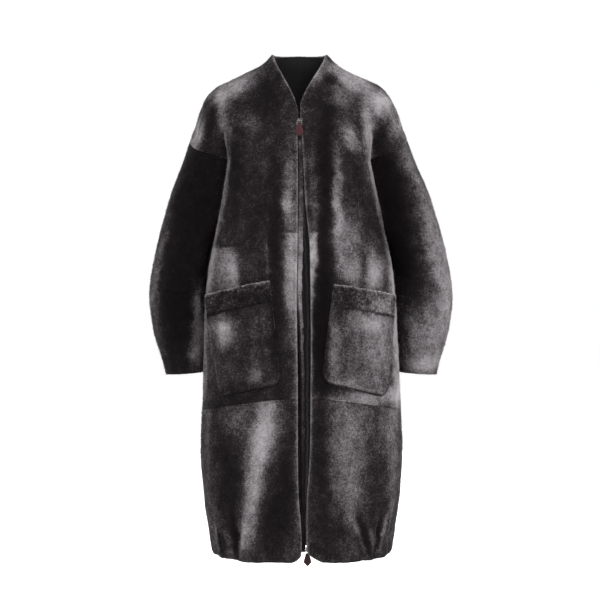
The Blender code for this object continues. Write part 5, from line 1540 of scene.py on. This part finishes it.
zipMake = {
    "top": -0.1205,
    "low": -1.0385,
    "tapeTurn": 0.0105,
    "tapeTurnZ": (-1.0425, -1.0540),
    "tapeLow": -1.0560,     # the tapes run on below the teeth
    "tapeFrom": 0.0030,
    "tapeTo": 0.0145,
    "tapeDepth": 0.0048,
    "tapeWall": 0.0008,
    "toothDepth": 0.0052,
    "toothStep": 0.0032,
    "toothSize": (0.0034, 0.0016, 0.0015),
    "toothOff": 0.0010,
    "stripTop": -0.152,
    "stripLow": -0.960,
    "stripDepth": 0.0018,
    "stripWall": 0.0022,
    "stripGap": 0.0012,
    "stripShift": 0.0026,   # further from the edge lower down
    "stripWidth": 0.0100,
    "stripRound": 0.0012,
    "stripMottle": (0.10, 0.02),
    "stripEdgeShade": 0.35,      # painted shade lower down, beside the edge
    "stripEdgeShadeZ": (-0.48, -0.58),
    "stripEdgeShadeTo": 0.3,
    "stripShiftZ": (-0.48, -0.62),
    "step": 0.0045,
}


def behindFronts(x, z, depth):
    edges = between(edgeTable, z)
    share = min(max((x - edges.right) / (edges.left - edges.right), 0.0), 1.0)
    onLeft = frontSkins["left"].at(x, z, -depth, byX=True)
    onRight = frontSkins["right"].at(-x, z, -depth, byX=True)
    return onLeft * share + onRight * (1.0 - share)


def makeRibbon(name, top, low, sides, depth, thick, materials, columns=2, tones=False, roundEdge=0.0):
    stations = np.linspace(top, low, int((top - low) / zipMake["step"]) + 1)
    shares = np.linspace(0, 1, columns + 1)
    outer, inner = [], []
    for z in stations:
        first, last = sides(z)
        places = [first + (last - first) * share for share in shares]
        crown = [roundEdge * abs(2 * share - 1) ** 3 for share in shares]
        outer.append([behindFronts(x, z, depth(z) + down) for x, down in zip(places, crown)])
        inner.append([behindFronts(x, z, depth(z) + thick) for x in places])
    outer, inner = np.array(outer), np.array(inner)
    painted = None
    if tones:
        # painted light and shade by height, a random mottle, and painted shade beside the edge lower down
        amount, size = zipMake["stripMottle"]
        painted = np.interp(outer[:, :, 2], *zip(*stripLightAndShade)) + amount * noiseAt(outer, size, 67.0)
        shadeBesideEdge = zipMake["stripEdgeShade"] * (shares < zipMake["stripEdgeShadeTo"])
        painted -= shadeBesideEdge * smoothStep(*zipMake["stripEdgeShadeZ"], outer[:, :, 2])
    inside = np.ones((len(stations) - 1, columns), bool)
    return makeWall(name, outer, inner, inside, materials, painted, gap=0.0)


def stripSides(z):
    edges = between(edgeTable, z)
    start = edges.right + zipMake["stripGap"] + zipMake["stripShift"] * float(smoothStep(*zipMake["stripShiftZ"], z))
    return start, min(start + zipMake["stripWidth"], edges.left - zipMake["stripGap"])


# the strip's pile by height, with painted shade where it lies deep between the fronts lower down
stripLightAndShade = [
    (-0.95, 0.14), (-0.90, 0.22), (-0.81, 0.32), (-0.72, 0.42), (-0.636, 0.44), (-0.55, 0.58),
    (-0.46, 0.74), (-0.366, 0.70), (-0.357, 0.52), (-0.31, 0.50), (-0.25, 0.47), (-0.18, 0.40),
]
strip = makeRibbon("zipStrip", zipMake["stripTop"], zipMake["stripLow"], stripSides, lambda z: zipMake["stripDepth"],
                   zipMake["stripWall"], [shearedPile, hide], columns=4, tones=True, roundEdge=zipMake["stripRound"])
hold(strip, "coat", ["zip_strip"])


def turnedIn(z):
    # the tape's lower end is turned back, which leaves the lower pull its room
    return zipMake["tapeTurn"] * float(smoothStep(*zipMake["tapeTurnZ"], z))


for label, sign in (("Left", 1), ("Right", -1)):
    def tapeSides(z):
        middle = between(edgeTable, z).zipX
        ends = sorted((middle + sign * zipMake["tapeFrom"], middle + sign * zipMake["tapeTo"]))
        return ends
    tape = makeRibbon(f"zipTape{label}", zipMake["top"], zipMake["tapeLow"], tapeSides,
                      lambda z: zipMake["tapeDepth"] + between(edgeTable, z).sink + turnedIn(z),
                      zipMake["tapeWall"], [wovenTape])
    hold(tape, "coat", [f"zip_tape_{label.lower()}"])


def makeTeeth():
    mesh = bmesh.new()
    count = int((zipMake["top"] - zipMake["low"]) / zipMake["toothStep"])
    for i in range(count):
        for sign in (1, -1):
            z = zipMake["top"] - zipMake["toothStep"] * (i + (0.5 if sign > 0 else 0.0)) - 0.001
            edges = between(edgeTable, z)
            spot = behindFronts(edges.zipX + sign * zipMake["toothOff"], z, zipMake["toothDepth"] + edges.sink)
            place = Matrix.Translation(Vector(spot)) @ Matrix.Diagonal((*zipMake["toothSize"], 1.0))
            bmesh.ops.create_cube(mesh, size=1.0, matrix=place)
    return meshPiece("zipTeeth", mesh, [toothMetal], smooth=False)


teeth = makeTeeth()
hold(teeth, "coat", ["zip_chain"])
print("closure", len(teeth.data.polygons))

tabMake = {
    "topHalf": 0.0036,
    "half": 0.00915,
    "shoulder": 0.0195,
    "length": 0.0292,
    "thick": 0.0030,
    "top": -0.0073,         # below the hinge
    "inset": 0.0016,        # stitch line from the edge
    "stitch": 0.0019,
    "stitchStep": 0.0028,
    "stitchWide": 0.00042,
    "stitchDeep": 0.00050,
    "cornerBevel": 0.0013,
    "rimBevel": 0.0007,
}
pulls = {
    "Top": {"body": "top_pull", "node": "tab_top", "hinge": (-0.00487, -0.110674, -0.1145), "tilt": -14.5,
            "leather": tabLeather},
    "Bottom": {"body": "bottom_pull", "node": "tab_bottom", "hinge": (0.012833, -0.150959, -1.0445), "tilt": 0.0,
               "leather": shadedTabLeather},
}


def outlineOf(inset):
    top, low = tabMake["top"] - inset, tabMake["top"] - tabMake["length"] + inset * 1.4
    wide = tabMake["top"] - tabMake["shoulder"]
    return [(-tabMake["topHalf"] + inset * 0.7, top), (-tabMake["half"] + inset, wide), (0.0, low),
            (tabMake["half"] - inset, wide), (tabMake["topHalf"] - inset * 0.7, top)]


def makeTab(name, pull):
    mesh = bmesh.new()
    corners = [mesh.verts.new((x, -tabMake["thick"] / 2, z)) for x, z in outlineOf(0.0)]
    face = mesh.faces.new(corners)
    pushed = bmesh.ops.extrude_face_region(mesh, geom=[face], use_keep_orig=True)
    moved = [item for item in pushed["geom"] if isinstance(item, bmesh.types.BMVert)]
    bmesh.ops.translate(mesh, vec=(0, tabMake["thick"], 0), verts=moved)
    bmesh.ops.recalc_face_normals(mesh, faces=mesh.faces)
    sides = [edge for edge in mesh.edges if abs(edge.verts[0].co.y - edge.verts[1].co.y) > 0.001]
    bmesh.ops.bevel(mesh, geom=sides, offset=tabMake["cornerBevel"], segments=4, profile=0.5, material=-1,
                    affect="EDGES")
    edges = [edge for edge in mesh.edges if abs(edge.verts[0].co.y - edge.verts[1].co.y) < 1e-5]
    bmesh.ops.bevel(mesh, geom=edges, offset=tabMake["rimBevel"], segments=3, profile=0.5, material=-1,
                    affect="EDGES")
    for face in mesh.faces:
        face.material_index = 1 if abs(face.normal.y) < 0.35 else 0
    # stitches follow the outline on both faces
    line = outlineOf(tabMake["inset"])
    for (x0, z0), (x1, z1) in zip(line, line[1:] + line[:1]):
        length = math.hypot(x1 - x0, z1 - z0)
        count = max(2, int(length / tabMake["stitchStep"]))
        angle = math.atan2(z1 - z0, x1 - x0)
        for i in range(count):
            share = (i + 0.5) / count
            x, z = x0 + (x1 - x0) * share, z0 + (z1 - z0) * share
            for sign in (1, -1):
                place = Matrix.Translation((x, sign * tabMake["thick"] * 0.5, z))
                turn = Matrix.Rotation(-angle, 4, "Y")
                size = Matrix.Diagonal((tabMake["stitch"], tabMake["stitchWide"], tabMake["stitchDeep"], 1.0))
                made = bmesh.ops.create_uvsphere(mesh, u_segments=8, v_segments=4, radius=0.5,
                                                 matrix=place @ turn @ size)
                for face in {f for v in made["verts"] for f in v.link_faces}:
                    face.material_index = 2
    place = Matrix.Translation(pull["hinge"]) @ Matrix.Rotation(math.radians(pull["tilt"]), 4, "X")
    bmesh.ops.transform(mesh, matrix=place, verts=mesh.verts)
    bmesh.ops.recalc_face_normals(mesh, faces=mesh.faces)
    return meshPiece(name, mesh, [pull["leather"], tabEdge, tabThread])


for label, pull in pulls.items():
    tab = makeTab(f"tab{label}", pull)
    hold(tab, pull["body"], [pull["node"]])
    print("tab", label, len(tab.data.polygons))
for node in ("slider_top", "slider_bottom", "link_top", "link_bottom"):
    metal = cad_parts[node]
    metal.data.materials.clear()
    metal.data.materials.append(zipMetal)

studio = {
    "floorZ": -1.19,
    "floorSize": 40.0,
    "floorGlow": 0.42,
    "world": 0.62,
    "seenWorld": 1.02,
    "lens": 96.0,
    "sensor": 36.0,
    "cameraAt": (-0.003375, -3.6, -0.506),
    "lights": {
        # place, what it faces, size, power
        "key": ((1.7, -3.2, 1.3), (0.0, 0.0, -0.45), 1.7, 95.0),
        "fill": ((-2.4, -2.6, 0.5), (0.0, 0.0, -0.5), 2.2, 42.0),
        "edgeLeft": ((-2.2, 1.3, 0.6), (-0.1, 0.0, -0.4), 1.4, 70.0),
        "edgeRight": ((2.3, 1.2, 0.6), (0.1, 0.0, -0.4), 1.4, 90.0),
        "over": ((0.1, -0.9, 2.2), (0.0, 0.0, -0.2), 1.6, 42.0),
        "back": ((0.2, 3.2, 1.2), (0.0, 0.0, -0.5), 2.0, 60.0),
    },
}


def makeStudio():
    mesh = bmesh.new()
    bmesh.ops.create_grid(mesh, x_segments=2, y_segments=2, size=studio["floorSize"] / 2,
                          matrix=Matrix.Translation((0, 0, studio["floorZ"])))
    floorFinish = bpy.data.materials.new("paleFloor")
    floorFinish.use_nodes = True
    shader = floorFinish.node_tree.nodes["Principled BSDF"]
    shader.inputs["Base Color"].default_value = (0.92, 0.92, 0.92, 1.0)
    shader.inputs["Roughness"].default_value = 0.9
    shader.inputs["Emission Color"].default_value = (1.0, 1.0, 1.0, 1.0)
    shader.inputs["Emission Strength"].default_value = studio["floorGlow"]
    data = bpy.data.meshes.new("floor")
    mesh.to_mesh(data)
    mesh.free()
    data.materials.append(floorFinish)
    floor = bpy.data.objects.new("floor", data)
    bpy.context.scene.collection.objects.link(floor)
    for name, (place, aim, size, power) in studio["lights"].items():
        lamp = bpy.data.lights.new(name, "AREA")
        lamp.size, lamp.energy = size, power
        holder = bpy.data.objects.new(name, lamp)
        holder.location = place
        holder.rotation_euler = (Vector(aim) - Vector(place)).to_track_quat("-Z", "Y").to_euler()
        bpy.context.scene.collection.objects.link(holder)
    world = bpy.data.worlds.new("studio")
    bpy.context.scene.world = world
    world.use_nodes = True
    tree = world.node_tree
    backdrop = tree.nodes["Background"]
    backdrop.inputs["Color"].default_value = (1.0, 1.0, 1.0, 1.0)
    seen = addNode(tree, "ShaderNodeLightPath").outputs["Is Camera Ray"]
    strength = mathNode(tree, "MULTIPLY_ADD", seen, studio["seenWorld"] - studio["world"], studio["world"])
    link(tree, strength, backdrop.inputs["Strength"])


makeStudio()
camera = bpy.data.objects.new("camera", bpy.data.cameras.new("camera"))
camera.data.lens = studio["lens"]
camera.data.sensor_width = studio["sensor"]
camera.location = studio["cameraAt"]
camera.rotation_euler = (math.radians(90), 0.0, 0.0)
bpy.context.scene.collection.objects.link(camera)
bpy.context.scene.camera = camera
bpy.context.scene.view_settings.view_transform = "Standard"
print("studio ready")
